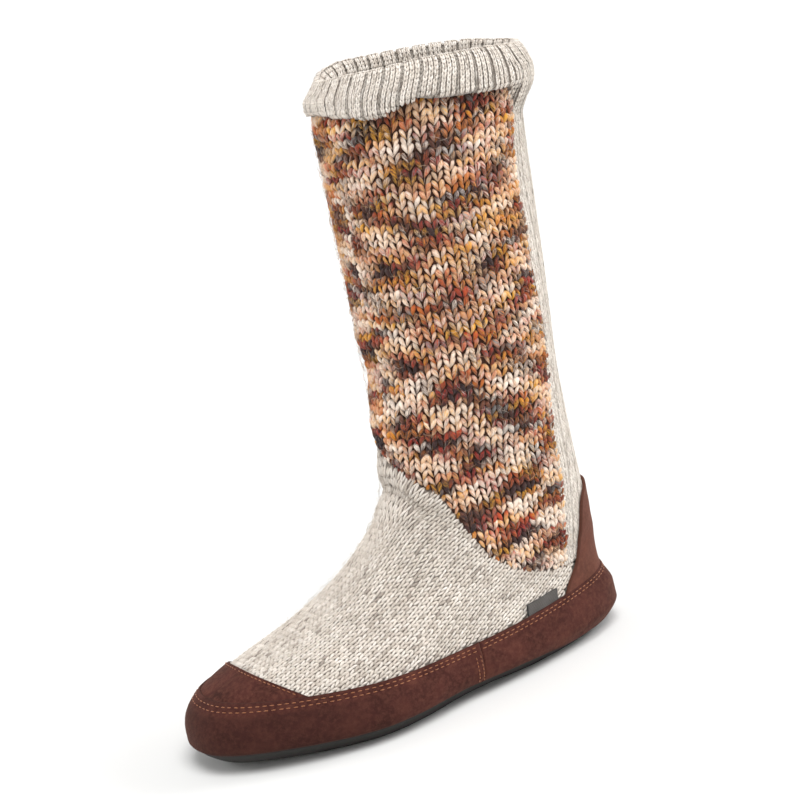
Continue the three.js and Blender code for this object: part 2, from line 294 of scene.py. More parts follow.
def turn_of(sign, z, arc):
    """Turn, negative on the inner side, at a distance round from the back."""
    z, arc = grids(z, arc)
    return sign * bilinear(ARCS[sign][1], (z - ARC_Z[0]) / ARC_RISE, arc / ARC_STEP)


def even_turns(z, start, stop, count):
    """Turns from start to stop, evenly spaced along the skin at a height."""
    turns = np.linspace(start, stop, 2000)
    arcs = arc_lengths(skin(z, turns))
    return np.interp(np.linspace(0, arcs[-1], count), arcs, turns)


# Meshes
sole_back = float(skin(OUTSOLE_THICK, 0.0)[0])
SHIFT = sole_back - 1000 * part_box("outsole")[0].x


def to_frame(points):
    return (np.asarray(points, float) - (SHIFT, 0, 0)) / 1000


def new_piece(name, points, faces, material, node=None):
    """Mesh from points in mm and arrays of faces. It rides on the boot and may stand for a CAD node."""
    points = np.asarray(points, float).reshape(-1, 3)
    faces = [np.asarray(part, int) for part in faces if len(part)]
    sizes = np.concatenate([np.full(len(part), part.shape[1]) for part in faces])
    corners = np.concatenate([part.ravel() for part in faces])
    mesh = bpy.data.meshes.new(name)
    mesh.vertices.add(len(points))
    mesh.vertices.foreach_set("co", to_frame(points).astype(np.float32).ravel())
    mesh.loops.add(len(corners))
    mesh.loops.foreach_set("vertex_index", corners.astype(np.int32))
    mesh.polygons.add(len(sizes))
    mesh.polygons.foreach_set("loop_start", np.concatenate([[0], np.cumsum(sizes)[:-1]]).astype(np.int32))
    mesh.update(calc_edges=True)
    mesh.validate()
    mesh.polygons.foreach_set("use_smooth", np.ones(len(mesh.polygons), bool))
    mesh.materials.append(material)
    piece = bpy.data.objects.new(name, mesh)
    bpy.context.scene.collection.objects.link(piece)
    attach(piece, "root")
    if node:
        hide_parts(node)
    return piece


def set_colours(piece, name, colours):
    colours = np.asarray(colours, np.float32)
    opaque = np.concatenate([colours, np.ones((len(colours), 1), np.float32)], 1)
    piece.data.color_attributes.new(name, "FLOAT_COLOR", "POINT").data.foreach_set("color", opaque.ravel())


def set_shares(piece, name, shares):
    """One number for each point, kept as a grey."""
    set_colours(piece, name, np.asarray(shares).reshape(-1, 1) * np.ones(3))


def set_vectors(piece, name, vectors):
    attribute = piece.data.attributes.new(name, "FLOAT_VECTOR", "POINT")
    attribute.data.foreach_set("vector", np.asarray(vectors, np.float32).ravel())


def sweep(points, closed):
    """Faces of a closed section (first axis) carried along columns (second axis), joined up or capped."""
    section, columns = points.shape[:2]
    index = np.arange(section * columns).reshape(section, columns)
    above = np.roll(index, -1, axis=0)
    if closed:
        quads = np.stack([index, np.roll(index, -1, 1), np.roll(above, -1, 1), above], -1)
        return [quads.reshape(-1, 4)]
    quads = np.stack([index[:, :-1], index[:, 1:], above[:, 1:], above[:, :-1]], -1)
    return [quads.reshape(-1, 4), index[None, ::-1, -1], index[None, :, 0]]


def ring_faces(points):
    """Faces between closed rings of points (second axis) that follow each other (first axis)."""
    index = np.arange(points.shape[0] * points.shape[1]).reshape(points.shape[:2])
    ahead = np.roll(index, -1, 1)
    return np.stack([index[:-1], ahead[:-1], ahead[1:], index[1:]], -1).reshape(-1, 4)


SPINDLE_RING = ((0.5, -0.15), (0.0, 0.5), (-0.5, -0.15))  # shares of width and depth of each ring's points
SPINDLE_RING_AT, SPINDLE_SINK = 0.2, 0.3  # shares of the length to a ring, and of the depth its tips sink
SPINDLE_POINTS = 2 + 2 * len(SPINDLE_RING)


def spindles(middles, along, outward, length, width, depth):
    """Plump closed legs of fine knit: two points and two rings each."""
    along, outward = unit(along), unit(outward)
    across = unit(np.cross(along, outward))
    length, width, depth = (np.broadcast_to(v, len(middles))[:, None] for v in (length, width, depth))
    points = [middles + sign * 0.5 * length * along - SPINDLE_SINK * depth * outward for sign in (-1, 1)]
    for sign in (-1, 1):
        middle = middles + sign * SPINDLE_RING_AT * length * along
        points += [middle + side * width * across + out * depth * outward for side, out in SPINDLE_RING]
    first = (SPINDLE_POINTS * np.arange(len(middles)))[:, None]
    sides = len(SPINDLE_RING)
    tris, quads = [], []
    for k in range(sides):
        step = (k + 1) % sides
        low, high = 2, 2 + sides
        tris += [first + (low + k, low + step, 0), first + (high + step, high + k, 1)]
        quads.append(first + (low + k, high + k, high + step, low + step))
    return np.stack(points, 1).reshape(-1, 3), [np.concatenate(tris), np.concatenate(quads)]


def tubes(paths, outward, radii, sides, flat=1.0):
    """Closed, pointed tubes along paths; also each point's place round and along its tube."""
    count, rings = paths.shape[0], paths.shape[1] - 2
    tangents = unit(np.gradient(paths, axis=1))
    across = unit(np.cross(tangents, outward))
    out = unit(np.cross(across, tangents))
    angles = math.tau * np.arange(sides) / sides
    c, s = np.cos(angles)[:, None], np.sin(angles)[:, None]
    offsets = across[:, 1:-1, None] * c + flat * out[:, 1:-1, None] * s
    body = paths[:, 1:-1, None] + radii[:, :, None, None] * offsets
    points = np.concatenate([paths[:, :1], paths[:, -1:], body.reshape(count, -1, 3)], 1)
    share = np.linspace(0, 1, paths.shape[1])
    around = np.zeros((rings, sides, 3))
    around[..., 0], around[..., 1], around[..., 2] = np.cos(angles), np.sin(angles), share[1:-1, None]
    place = np.concatenate([[(0, 0, 0), (0, 0, 1)], around.reshape(-1, 3)])
    first = (points.shape[1] * np.arange(count))[:, None]
    tris, quads = [], []
    last = 2 + (rings - 1) * sides
    for k in range(sides):
        step = (k + 1) % sides
        tris += [first + (2 + k, 2 + step, 0), first + (last + step, last + k, 1)]
        for ring in range(rings - 1):
            low, high = 2 + ring * sides, 2 + (ring + 1) * sides
            quads.append(first + (low + k, high + k, high + step, low + step))
    return points.reshape(-1, 3), [np.concatenate(tris), np.concatenate(quads)], np.tile(place, (count, 1))


# Colours
def linear(code):
    """Linear colour of a hex code."""
    parts = np.array([int(code[i:i + 2], 16) for i in (1, 3, 5)]) / 255
    return np.where(parts <= 0.04045, parts / 12.92, ((parts + 0.055) / 1.055) ** 2.4)


def rgba(code):
    return (*linear(code), 1)


# Materials
MIX_A, MIX_B, MIX_RESULT = 6, 7, 2  # colour sockets of a mix node


class Nodes:
    """A node material in the making."""

    def __init__(self, name, roughness, sheen=0.0, sheen_tint="#ffffff", specular=0.3):
        self.material = bpy.data.materials.new(name)
        self.material.use_nodes = True
        self.tree = self.material.node_tree
        self.shader = self.tree.nodes["Principled BSDF"]
        self.shader.inputs["Roughness"].default_value = roughness
        self.shader.inputs["Specular IOR Level"].default_value = specular
        self.shader.inputs["Sheen Weight"].default_value = sheen
        self.shader.inputs["Sheen Roughness"].default_value = 0.45
        self.shader.inputs["Sheen Tint"].default_value = rgba(sheen_tint)

    def node(self, kind, inputs=(), **settings):
        node = self.tree.nodes.new("ShaderNode" + kind)
        for key, value in settings.items():
            setattr(node, key, value)
        for key, value in dict(inputs).items():
            if isinstance(value, bpy.types.NodeSocket):
                self.tree.links.new(value, node.inputs[key])
            else:
                node.inputs[key].default_value = value
        return node

    def math(self, operation, a, b=0.0):
        return self.node("Math", {0: a, 1: b}, operation=operation).outputs[0]

    def times(self, a, b):
        return self.math("MULTIPLY", a, b)

    def plus(self, a, b):
        return self.math("ADD", a, b)

    def strand(self):
        return self.node("SeparateXYZ", {0: self.attribute("strand", "Vector")}).outputs

    def place(self):
        return self.node("TexCoord").outputs["Object"]

    def noise(self, scale, detail=2.0, vector=None, roughness=0.5):
        vector = vector or self.place()
        inputs = {"Vector": vector, "Scale": scale, "Detail": detail, "Roughness": roughness}
        return self.node("TexNoise", inputs).outputs["Fac"]

    def attribute(self, name, output="Color"):
        return self.node("Attribute", attribute_name=name).outputs[output]

    def ramp(self, factor, stops):
        ramp = self.node("ValToRGB", {0: factor})
        elements = ramp.color_ramp.elements
        while len(elements) < len(stops):
            elements.new(0.5)
        for element, (at, colour) in zip(elements, stops):
            element.position = at
            element.color = rgba(colour)
        return ramp.outputs["Color"]

    def mix(self, factor, a, b, blend="MIX"):
        inputs = {0: factor, MIX_A: a, MIX_B: b}
        return self.node("Mix", inputs, data_type="RGBA", blend_type=blend).outputs[MIX_RESULT]

    def colour(self, socket):
        self.tree.links.new(socket, self.shader.inputs["Base Color"])

    def roughness(self, socket):
        self.tree.links.new(socket, self.shader.inputs["Roughness"])

    def bump(self, height, distance, strength=1.0, under=None):
        inputs = {"Height": height, "Distance": distance, "Strength": strength}
        if under:
            inputs["Normal"] = under
        normal = self.node("Bump", inputs).outputs["Normal"]
        self.tree.links.new(normal, self.shader.inputs["Normal"])
        return normal


def shade(low, high):
    """Two greys of a ramp that darkens and lightens a colour."""
    return [(0.25, low), (0.75, high)]


def suede_material():
    nodes = Nodes("suede", 0.92, sheen=0.2, sheen_tint="#b98a78", specular=0.12)
    blotch = nodes.noise(55, 4, roughness=0.6)
    nap = nodes.noise(420, 5, roughness=0.7)
    fine = nodes.noise(2600, 2)
    base = nodes.ramp(blotch, [(0.32, "#381d19"), (0.5, "#472521"), (0.68, "#5b332b")])
    worn = nodes.mix(nodes.ramp(nap, [(0.42, "#000000"), (0.78, "#ffffff")]), base, rgba("#663e33"))
    # The edge attribute darkens the cut edges. It also carries painted shade in the band's stitch grooves
    # and over its front towards the toe.
    edge = nodes.mix(nodes.attribute("edge", "Fac"), worn, rgba("#2b1815"))
    # The pale attribute is painted light on the heel counter.
    pale = nodes.mix(nodes.attribute("pale", "Fac"), edge, rgba("#8c5b49"))
    nodes.colour(nodes.mix(0.35, pale, nodes.ramp(fine, shade("#5a5a5a", "#ffffff")), "MULTIPLY"))
    under = nodes.bump(nap, 0.0004, 0.5)
    nodes.bump(fine, 0.00016, 0.6, under)
    return nodes.material


def yarn_material():
    nodes = Nodes("chunky_yarn", 0.8, sheen=0.25, sheen_tint="#efe3d8", specular=0.25)
    place = nodes.strand()
    twist = nodes.times(place["Z"], 2.4)
    c, s = nodes.math("COSINE", twist), nodes.math("SINE", twist)
    ahead = nodes.plus(nodes.times(place["X"], c), nodes.times(place["Y"], s))
    beside = nodes.math("SUBTRACT", nodes.times(place["Y"], c), nodes.times(place["X"], s))
    spun = nodes.node("CombineXYZ", {0: ahead, 1: beside, 2: nodes.times(place["Z"], 0.5)}).outputs[0]
    seed = nodes.attribute("seed", "Vector")
    shifted = nodes.node("VectorMath", {0: spun, 1: seed}, operation="ADD").outputs[0]
    fibre = nodes.noise(4.5, 5, shifted, roughness=0.7)
    side = nodes.ramp(nodes.noise(2.1, 2, shifted), [(0.45, "#000000"), (0.6, "#f0f0f0")])
    both = nodes.mix(side, nodes.attribute("first"), nodes.attribute("second"))
    fleck = nodes.ramp(fibre, [(0.47, "#000000"), (0.56, "#e8e8e8")])
    flecked = nodes.mix(fleck, both, nodes.attribute("third"))
    hollow = nodes.ramp(fibre, [(0.28, "#6d635d"), (0.55, "#ffffff")])
    nodes.colour(nodes.mix(0.45, flecked, hollow, "MULTIPLY"))
    under = nodes.bump(nodes.math("ABSOLUTE", beside), 0.0004, 0.4)
    nodes.bump(fibre, 0.0009, 0.7, under)
    return nodes.material


def fine_knit_material(name, dark, light):
    nodes = Nodes(name, 0.9, sheen=0.35, sheen_tint="#efe6dc", specular=0.15)
    fibre = nodes.noise(1500, 4, roughness=0.7)
    cloud = nodes.noise(90, 3)
    tint = nodes.mix(0.5, nodes.attribute("tint"), nodes.ramp(cloud, shade(dark, light)), "MULTIPLY")
    hollow = nodes.ramp(fibre, [(0.3, "#a79f97"), (0.58, "#ffffff")])
    nodes.colour(nodes.mix(0.45, tint, hollow, "MULTIPLY"))
    nodes.bump(fibre, 0.0003, 0.6)
    return nodes.material


def cloth_material(name, low, high, scale, distance):
    """Plain cloth seen between or behind the stitches, and fleece."""
    nodes = Nodes(name, 0.95, sheen=0.3, specular=0.1)
    tuft = nodes.noise(scale, 5, roughness=0.7)
    nodes.colour(nodes.ramp(tuft, [(0.3, low), (0.7, high)]))
    nodes.bump(tuft, distance, 0.8)
    return nodes.material


def rubber_material():
    nodes = Nodes("sole_rubber", 0.75, specular=0.3)
    grain = nodes.noise(1400, 3)
    dust = nodes.noise(70, 4, roughness=0.6)
    dusty = nodes.ramp(dust, [(0.45, "#000000"), (0.8, "#666666")])
    nodes.colour(nodes.mix(dusty, rgba("#2c2a28"), rgba("#48433f")))
    nodes.roughness(nodes.node("MapRange", {0: dust, 3: 0.65, 4: 0.9}).outputs[0])
    nodes.bump(grain, 0.0002, 0.5)
    return nodes.material


def thread_material():
    nodes = Nodes("thread", 0.6, sheen=0.2, specular=0.35)
    place = nodes.strand()
    wound = nodes.math("SINE", nodes.plus(nodes.times(place["Z"], 26), nodes.times(place["X"], 2.2)))
    light = nodes.plus(nodes.times(wound, 0.5), 0.5)
    nodes.colour(nodes.ramp(light, [(0.1, "#744024"), (0.8, "#b07046")]))
    nodes.bump(wound, 0.0001, 0.6)
    return nodes.material


def tape_material():
    nodes = Nodes("woven_tab", 0.8, sheen=0.25, specular=0.2)
    warp, weft = (nodes.node("TexWave", {"Vector": nodes.place(), "Scale": 420, "Distortion": 0.6},
                             bands_direction=way).outputs["Fac"] for way in "XZ")
    weave = nodes.times(warp, weft)
    base = nodes.ramp(weave, [(0.0, "#3a3735"), (0.6, "#6b6560")])
    # The edge attribute is painted shadow along the tab's ends and top edge.
    nodes.colour(nodes.mix(nodes.attribute("edge", "Fac"), base, rgba("#211f1f")))
    nodes.bump(weave, 0.0003, 0.7)
    return nodes.material


def floor_material():
    nodes = Nodes("floor", 0.9, specular=0.1)
    nodes.colour(nodes.ramp(nodes.noise(3, 2), [(0.3, "#e0e0df"), (0.7, "#e4e4e3")]))
    return nodes.material


SUEDE = suede_material()
YARN = yarn_material()
FOOT_WOOL = fine_knit_material("foot_wool", "#b3aea9", "#e3e1df")
RIB_WOOL = fine_knit_material("rib_wool", "#e2dfdb", "#ffffff")
# The back panel's wool and cloth are lighter copies of the cuff's: painted light, where the light from
# behind falls.
BACK_WOOL_PAINTED_LIGHT = fine_knit_material("back_wool_painted_light", "#f0eeeb", "#ffffff")
# The foot's, cuff's and shaft's backings are darker than their yarn: painted shade in the gaps between the
# stitches.
WOOL_BACKING_PAINTED_SHADE = cloth_material("wool_backing_painted_shade", "#776d65", "#998f86", 900, 0.0006)
RIB_CLOTH_PAINTED_SHADE = cloth_material("rib_cloth_painted_shade", "#857c74", "#aba299", 900, 0.0006)
BACK_CLOTH_PAINTED_LIGHT = cloth_material("back_cloth_painted_light", "#ddd6ce", "#f6f0ea", 900, 0.0006)
YARN_BACKING_PAINTED_SHADE = cloth_material("yarn_backing_painted_shade", "#35231d", "#553a2e", 700, 0.0006)
FLEECE = cloth_material("fleece", "#b9afa3", "#e6ded3", 700, 0.0012)
RUBBER = rubber_material()
THREAD = thread_material()
TAPE = tape_material()


# Sole, footbed and lining
SOLE_LEVELS = np.array([0, 0.25, 0.9, 2.5, 5, 7.2, OUTSOLE_THICK])
SOLE_ROUNDING, SOLE_DRAW = 0.5, -1.6  # height of the rounded lower edge, and how fast it draws in
SOLE_ARCH = dict(rise=1.5, span=(70, 107.5, 145))
SOLE_RIPPLE = dict(height=0.45, pitch=5, sway=0.9, sway_pitch=14, fade=(0.02, 0.12))
SPINE_Y, SPINE_TURN = -2.0, (150, 250)
BED_EDGE = np.array([(8.4, -3.4), (10, -3.3), (12, -3.3), (13.0, -3.8), (13.3, -5.2)])  # height, rise
BED_HOLLOW = dict(depth=0.7, span=(0, 0.7))
LINING_LEVELS = np.concatenate([np.linspace(8.4, 60, 24), np.linspace(63, SHAFT_TOP - 2, 60)])
LINING_RISES = (-2.4, -2.9)  # outside and inside
LINING_FOLLOW = dict(share=0.7, start=120)  # how much of the leg's soft shape it takes up
LINING_DRAW = dict(depth=1.2, fade_in=(110, 150), fade_out=(296, 304))


def spine_of(ring):
    """Line along the middle of the sole, a point for each of a ring round it."""
    spine = ring.copy()
    spine[:, 1] = SPINE_Y - 0.5 * TOE_TURN * smoothstep(ring[:, 0], *SPINE_TURN)
    return spine


def between(first, last, shares):
    """Rings of points at shares of the way from one to another."""
    return lerp(first[None], last[None], shares[:, None, None])


def make_outsole():
    turns = even_turns(6, 0, math.tau, 261)[:-1]
    edge = np.where(SOLE_LEVELS < SOLE_ROUNDING, (SOLE_ROUNDING - SOLE_LEVELS) * SOLE_DRAW, 0)
    rows = lifted(SOLE_LEVELS[:, None], turns[None, :], edge[:, None])
    start, middle, end = SOLE_ARCH["span"]
    arch = smoothstep(rows[..., 0], start, middle) - smoothstep(rows[..., 0], middle, end)
    rows[..., 2] += SOLE_ARCH["rise"] * arch * (1 - smoothstep(SOLE_LEVELS, 0, OUTSOLE_THICK))[:, None]
    shares = np.linspace(1, 0, 26)[1:]
    spine = spine_of(rows[0])
    under = between(spine, rows[0], shares)
    sway = SOLE_RIPPLE["sway"] * np.sin(under[..., 1] * math.tau / SOLE_RIPPLE["sway_pitch"])
    ripple = np.sin(under[..., 0] * math.tau / SOLE_RIPPLE["pitch"] + sway)
    fade = smoothstep(1 - shares, *SOLE_RIPPLE["fade"])[:, None]
    under[..., 2] += SOLE_RIPPLE["height"] * (0.5 + 0.5 * ripple) * fade
    spine[:, 2] = rows[-1, :, 2]
    over = between(rows[-1], spine, np.linspace(0, 1, 6)[1:])
    points = np.concatenate([under[::-1], rows, over])
    new_piece("outsole_rubber", points, [ring_faces(points)], RUBBER, "outsole")


def make_footbed():
    turns = even_turns(10, 0, math.tau, 181)[:-1]
    levels, rises = BED_EDGE.T[..., None]
    edge = lifted(levels, turns[None, :], rises)
    spine = spine_of(edge[-1])
    shares = np.linspace(0, 1, 16)[1:]
    over = between(edge[-1], spine, shares)
    over[..., 2] -= BED_HOLLOW["depth"] * smoothstep(shares, *BED_HOLLOW["span"])[:, None]
    under = between(spine, edge[0], np.linspace(0, 1, 4)[:-1])
    under[..., 2] = edge[0, :, 2]
    points = np.concatenate([under, edge, over])
    new_piece("footbed_fleece", points, [ring_faces(points)], FLEECE, "insole")


def wall_points(levels, turns, outer, inner):
    """Closed section of a wall: up its outside and down its inside."""
    return np.concatenate([lifted(levels, turns, outer), lifted(levels, turns, inner)[::-1]])


def make_lining():
    levels = LINING_LEVELS[:, None]
    turns = np.linspace(0, math.tau, 161)[None, :-1]
    soft = np.where(levels > LINING_FOLLOW["start"], slouch(levels, turns), 0) * LINING_FOLLOW["share"]
    soft = soft - LINING_DRAW["depth"] * window(levels, LINING_DRAW["fade_in"], LINING_DRAW["fade_out"])
    points = wall_points(levels, turns, *(rise + soft for rise in LINING_RISES))
    new_piece("lining_fleece", points, sweep(points, True), FLEECE)


# Fine knit
GREY_SHARES = {
    "#f6efe7": 0.24, "#efe7de": 0.3, "#e8dfd5": 0.26, "#dfd5cb": 0.13, "#cfc5bb": 0.05, "#b5aba2": 0.02,
}
GREYS = np.array([linear(code) for code in GREY_SHARES])
GREY_LIGHT = (0.93, 1.05)


def fleck_tints(count):
    tints = GREYS[rng.choice(len(GREYS), count, p=list(GREY_SHARES.values()))]
    return tints * rng.uniform(*GREY_LIGHT, (count, 1))


RIB_WALE, RIB_COURSE, RIB_TILT = 2.35, 2.35, 0.14
RIB_LEG = dict(aside=0.23, length=1.6, width=0.5, depth=0.48)  # in wales, the length in courses
RIB_JITTER = dict(tilt=0.05, place=0.04, plump=0.06)


def rib_knit(name, middles, across, outward, material, tones):
    """Two legs of a rib's stitch at each middle, leaning apart."""
    across, outward = unit(across), unit(outward)
    along = unit(np.cross(outward, across))
    legs, directions = [], []
    for sign in (-1, 1):
        tilt = sign * rng.normal(RIB_TILT, RIB_JITTER["tilt"], (len(middles), 1))
        aside = across * sign * RIB_LEG["aside"] * RIB_WALE
        legs.append(middles + aside + rng.normal(0, RIB_JITTER["place"], middles.shape))
        directions.append(along * np.cos(tilt) + across * np.sin(tilt))
    legs, directions = np.concatenate(legs), np.concatenate(directions)
    plump = rng.normal(1, RIB_JITTER["plump"], len(legs)) * RIB_WALE
    sizes = RIB_LEG["length"] * RIB_COURSE, RIB_LEG["width"] * plump, RIB_LEG["depth"] * plump
    points, faces = spindles(legs, directions, np.concatenate([outward, outward]), *sizes)
    piece = new_piece(name, points, faces, material)
    # The tones are painted shade, darker in the grooves. On the back panel they are also painted light.
    tints = fleck_tints(len(legs)) * np.concatenate([tones, tones])[:, None]
    set_colours(piece, "tint", np.repeat(tints, SPINDLE_POINTS, axis=0))


# Foot
WALE, COURSE = 3.6, 3.25
FOOT_REACH = (0.06, 0.44)  # how far a leg's foot and head lie from the wale's middle, in wales
FOOT_SPAN, FOOT_DIP, FOOT_RADIUS = 0.84, 0.6, 0.23
FOOT_PROFILE = np.array([0.82, 1.0, 0.82])  # share of the radius, along a leg
FOOT_SIDES, FOOT_FLAT = 5, 0.85
FOOT_JITTER = dict(reach=0.08, up=0.1, thick=0.07)
WALE_SLOPE = math.radians(26)
WALE_NUMBERS = np.arange(-20, 120)
WALE_GRID = (np.arange(24.0, 240.0, 1.5), np.radians(np.arange(186, -0.5, -1.0)))  # heights, turns
STRAIGHT_LEVEL = 106  # level, square to the slope, of the wale that runs straight
WALE_DRIFT = dict(start=-140, shares=(0.45, 1.0), span=(-90, -62))  # how far the others follow it
STITCH_STRETCH = (0.85, 1.4)
FOOT_RISE = -0.55
FOOT_WALL = dict(foot=8.6, outside=-0.7, inside=-2.6)
FOOT_TUCK = dict(band=1, patch=1.5)  # how far the knit reaches under the suede
SEAM_DIP = dict(depth=0.5, reach=2.2)
ANKLE_ROLL = dict(height=1.5, fade_in=(134, 158), fade_out=(215, 236))


def foot_rise(z, turn):
    """Rise of the foot's knit: creases, a soft roll over the front one, and a dip into the throat seam."""
    degrees = degrees_of(turn)
    edge = throat(turn)
    foot = np.interp(degrees, *np.array(FOOT_CREASES[0]["line"], float).T)
    fade = window(degrees, ANKLE_ROLL["fade_in"], ANKLE_ROLL["fade_out"])
    up = np.clip((z - foot) / np.maximum(edge - foot, 1), 0, 1)
    roll = ANKLE_ROLL["height"] * fade * np.sin(math.pi * up)
    dip = SEAM_DIP["depth"] * (1 - smoothstep(edge - z, 0, SEAM_DIP["reach"]))
    return FOOT_RISE + relief(FOOT_CREASES, z, turn) + roll - dip


def foot_point(z, turn):
    return lifted(z, turn, foot_rise(z, turn))


def foot_stitches(sign):
    """Heights and turns of the stitches of one side: a row for each course, a column for each wale."""
    along = np.array([-math.cos(WALE_SLOPE), 0, math.sin(WALE_SLOPE)])
    cross = np.array([math.sin(WALE_SLOPE), 0, math.cos(WALE_SLOPE)])
    grid_z, grid_turn = WALE_GRID
    height = skin(grid_z[:, None], sign * grid_turn[None, :]) @ along
    steps = np.arange(height[0, 0] + 1, -2, COURSE)
    curves = []
    for step in steps:
        inside = (height[0] < step) & (height[-1] > step)
        z = np.array([np.interp(step, height[:, k], grid_z) for k in np.nonzero(inside)[0]])
        points = skin(z, sign * grid_turn[inside])
        arc = arc_lengths(points)
        arc -= np.interp(-math.pi, -grid_turn[inside], arc)
        curves.append((z, grid_turn[inside], arc, points @ cross))
    straight = np.array([np.interp(-STRAIGHT_LEVEL, -level, arc) for _, _, arc, level in curves])
    follow = lerp(*WALE_DRIFT["shares"], smoothstep(steps, *WALE_DRIFT["span"]))
    drift = np.cumsum(np.gradient(straight) * np.where(steps < WALE_DRIFT["start"], 0, follow))
    at = (WALE_NUMBERS + 0.5) * WALE
    table = np.full((len(steps), len(at), 2), np.nan)
    for k, (z, turn, arc, _) in enumerate(curves):
        place = arc - drift[k]
        inside = (at > max(place[0], -drift[k] - 0.5 * WALE)) & (at < place[-1])
        table[k, inside, 0] = np.interp(at[inside], place, z)
        table[k, inside, 1] = sign * np.interp(at[inside], place, turn)
    return table


def make_foot():
    turns = np.linspace(0, math.tau, 181)[None, :-1]
    shares = np.linspace(0, 1, 48)[:, None]
    levels = lerp(FOOT_WALL["foot"], throat(turns) - 0.2, shares)
    outside = foot_rise(levels, turns) + FOOT_WALL["outside"]
    points = wall_points(levels, turns, outside, FOOT_WALL["inside"])
    new_piece("foot_backing", points, sweep(points, True), WOOL_BACKING_PAINTED_SHADE, "upper")
    parts = []
    for sign in (1, -1):
        table = foot_stitches(sign)
        middle = table[1:-1, 1:-1]
        beside = [np.where(np.isnan(v), middle, v) for v in (
            table[:-2, 1:-1], table[2:, 1:-1], table[1:-1, :-2], table[1:-1, 2:])]
        whole = ~np.isnan(middle).any(-1)
        for low, high in (beside[:2], beside[2:]):
            whole &= (low != high).any(-1)
        z, turn = middle[whole].T
        x = skin(z, turn)[:, 0]
        keep = (z > line_z("band_top", x) - FOOT_TUCK["band"]) & (z < throat(turn))
        keep &= x < line_x("cap", z) + FOOT_TUCK["patch"]
        keep &= x > line_x("counter", z) - FOOT_TUCK["patch"]
        around = [foot_point(*v[whole][keep].T) for v in (*beside, middle)]
        along, across = around[1] - around[0], sign * (around[3] - around[2])
        spans = [np.linalg.norm(v, axis=-1) / 2 for v in (across, along)]
        parts.append((around[4], across, np.cross(across, along), *spans))
    middles, across, outward, wale, course = (np.concatenate(v) for v in zip(*parts))
    low, high = STITCH_STRETCH
    wale, course = np.clip(wale, low * WALE, high * WALE), np.clip(course, low * COURSE, high * COURSE)
    foot_legs(middles, across, outward, wale, course)


def foot_legs(middles, across, outward, wale, course):
    """Curved legs of the foot's stitches, two a stitch, leaning apart and dipping at both ends."""
    across, outward = unit(across)[:, None], unit(outward)[:, None]
    along = unit(np.cross(outward, across))
    share = np.linspace(0, 1, len(FOOT_PROFILE) + 2)
    count = len(middles)
    dip = FOOT_DIP * (2 * share - 1) ** 2
    paths = []
    for sign in (-1, 1):
        reach = sign * lerp(*FOOT_REACH, share) * rng.normal(1, FOOT_JITTER["reach"], (count, 1))
        side = reach * wale[:, None]
        up = lerp(-FOOT_SPAN, FOOT_SPAN, share) * course[:, None]
        up = up + rng.normal(0, FOOT_JITTER["up"], (count, 1))
        leg = middles[:, None] + across * side[..., None] + along * up[..., None]
        paths.append(leg - outward * dip[:, None])
    paths = np.concatenate(paths)
    ways = np.broadcast_to(np.concatenate([outward, outward]), paths.shape)
    thick = FOOT_RADIUS * np.concatenate([wale, wale]) * rng.normal(1, FOOT_JITTER["thick"], 2 * count)
    points, faces, place = tubes(paths, ways, thick[:, None] * FOOT_PROFILE, FOOT_SIDES, FOOT_FLAT)
    piece = new_piece("foot_knit", points, faces, FOOT_WOOL)
    set_colours(piece, "tint", np.repeat(fleck_tints(2 * count), len(place) // (2 * count), axis=0))


# Ribbed knit of the back panel and the cuff
RIB_PHASES = np.array([0.0, 0.22, 0.5, 0.78])  # the first lies in the groove
BACK_RIBS = 11
BACK_RIB_HEIGHT = 0.7
BACK_TUCK = 2.4  # how far the panel reaches under the chunky knit
BACK_FOOT = 47.5
BACK_RISES = dict(outside=-1.6, inside=-2.7, knit=-1.15, groove=0.3)
BACK_EDGE = dict(dip=0.4, share=0.03)
# Tones of the back's stitches: painted light lifts them all, and painted shade darkens those in a groove.
BACK_LIGHT_AND_SHADE = dict(rib=1.1, groove=0.12)
BACK_NUDGE = dict(aside=0.002, up=0.3)
BACK_DRAW = np.array([  # height, rise
    (150, 0), (185, 0.9), (215, 0.9), (245, 0), (270, -0.5), (292, -0.7), (315, -0.5),
])
CUFF_RIBS = 37


def rib(phase, height):
    """Rounded rib with narrow grooves, once for each whole step of phase."""
    return height * (1 - np.abs(2 * (phase % 1) - 1) ** 6)


def rib_wales(ribs, levels):
    """Levels and shares of the way round of the stitches of ribs, and which of them lie in a groove."""
    shares = ((np.arange(ribs)[:, None] + RIB_PHASES[None, :]) / ribs).ravel()
    grooves = np.tile(RIB_PHASES == 0, ribs)
    shape = len(levels), len(shares)
    return (np.broadcast_to(v, shape).ravel() for v in (levels[:, None], shares, grooves))


def back_surface(share, z, rise):
    """Point of the back panel at a share of the way round from its inner to its outer seam."""
    half = turn_at(line_x("back", z), z)
    inner, outer = arc_of(-1, z, half) + BACK_TUCK, arc_of(1, z, half) + BACK_TUCK
    at = lerp(-inner, outer, share)
    turn = np.where(at < 0, turn_of(-1, z, np.maximum(-at, 0)), turn_of(1, z, np.maximum(at, 0)))
    edge = np.minimum(share, 1 - share)
    dip = BACK_EDGE["dip"] * (1 - smoothstep(edge, 0, BACK_EDGE["share"]))
    rise = rise + np.interp(z, *BACK_DRAW.T)
    return lifted(z, turn, rise + rib(share * BACK_RIBS, BACK_RIB_HEIGHT) - dip)


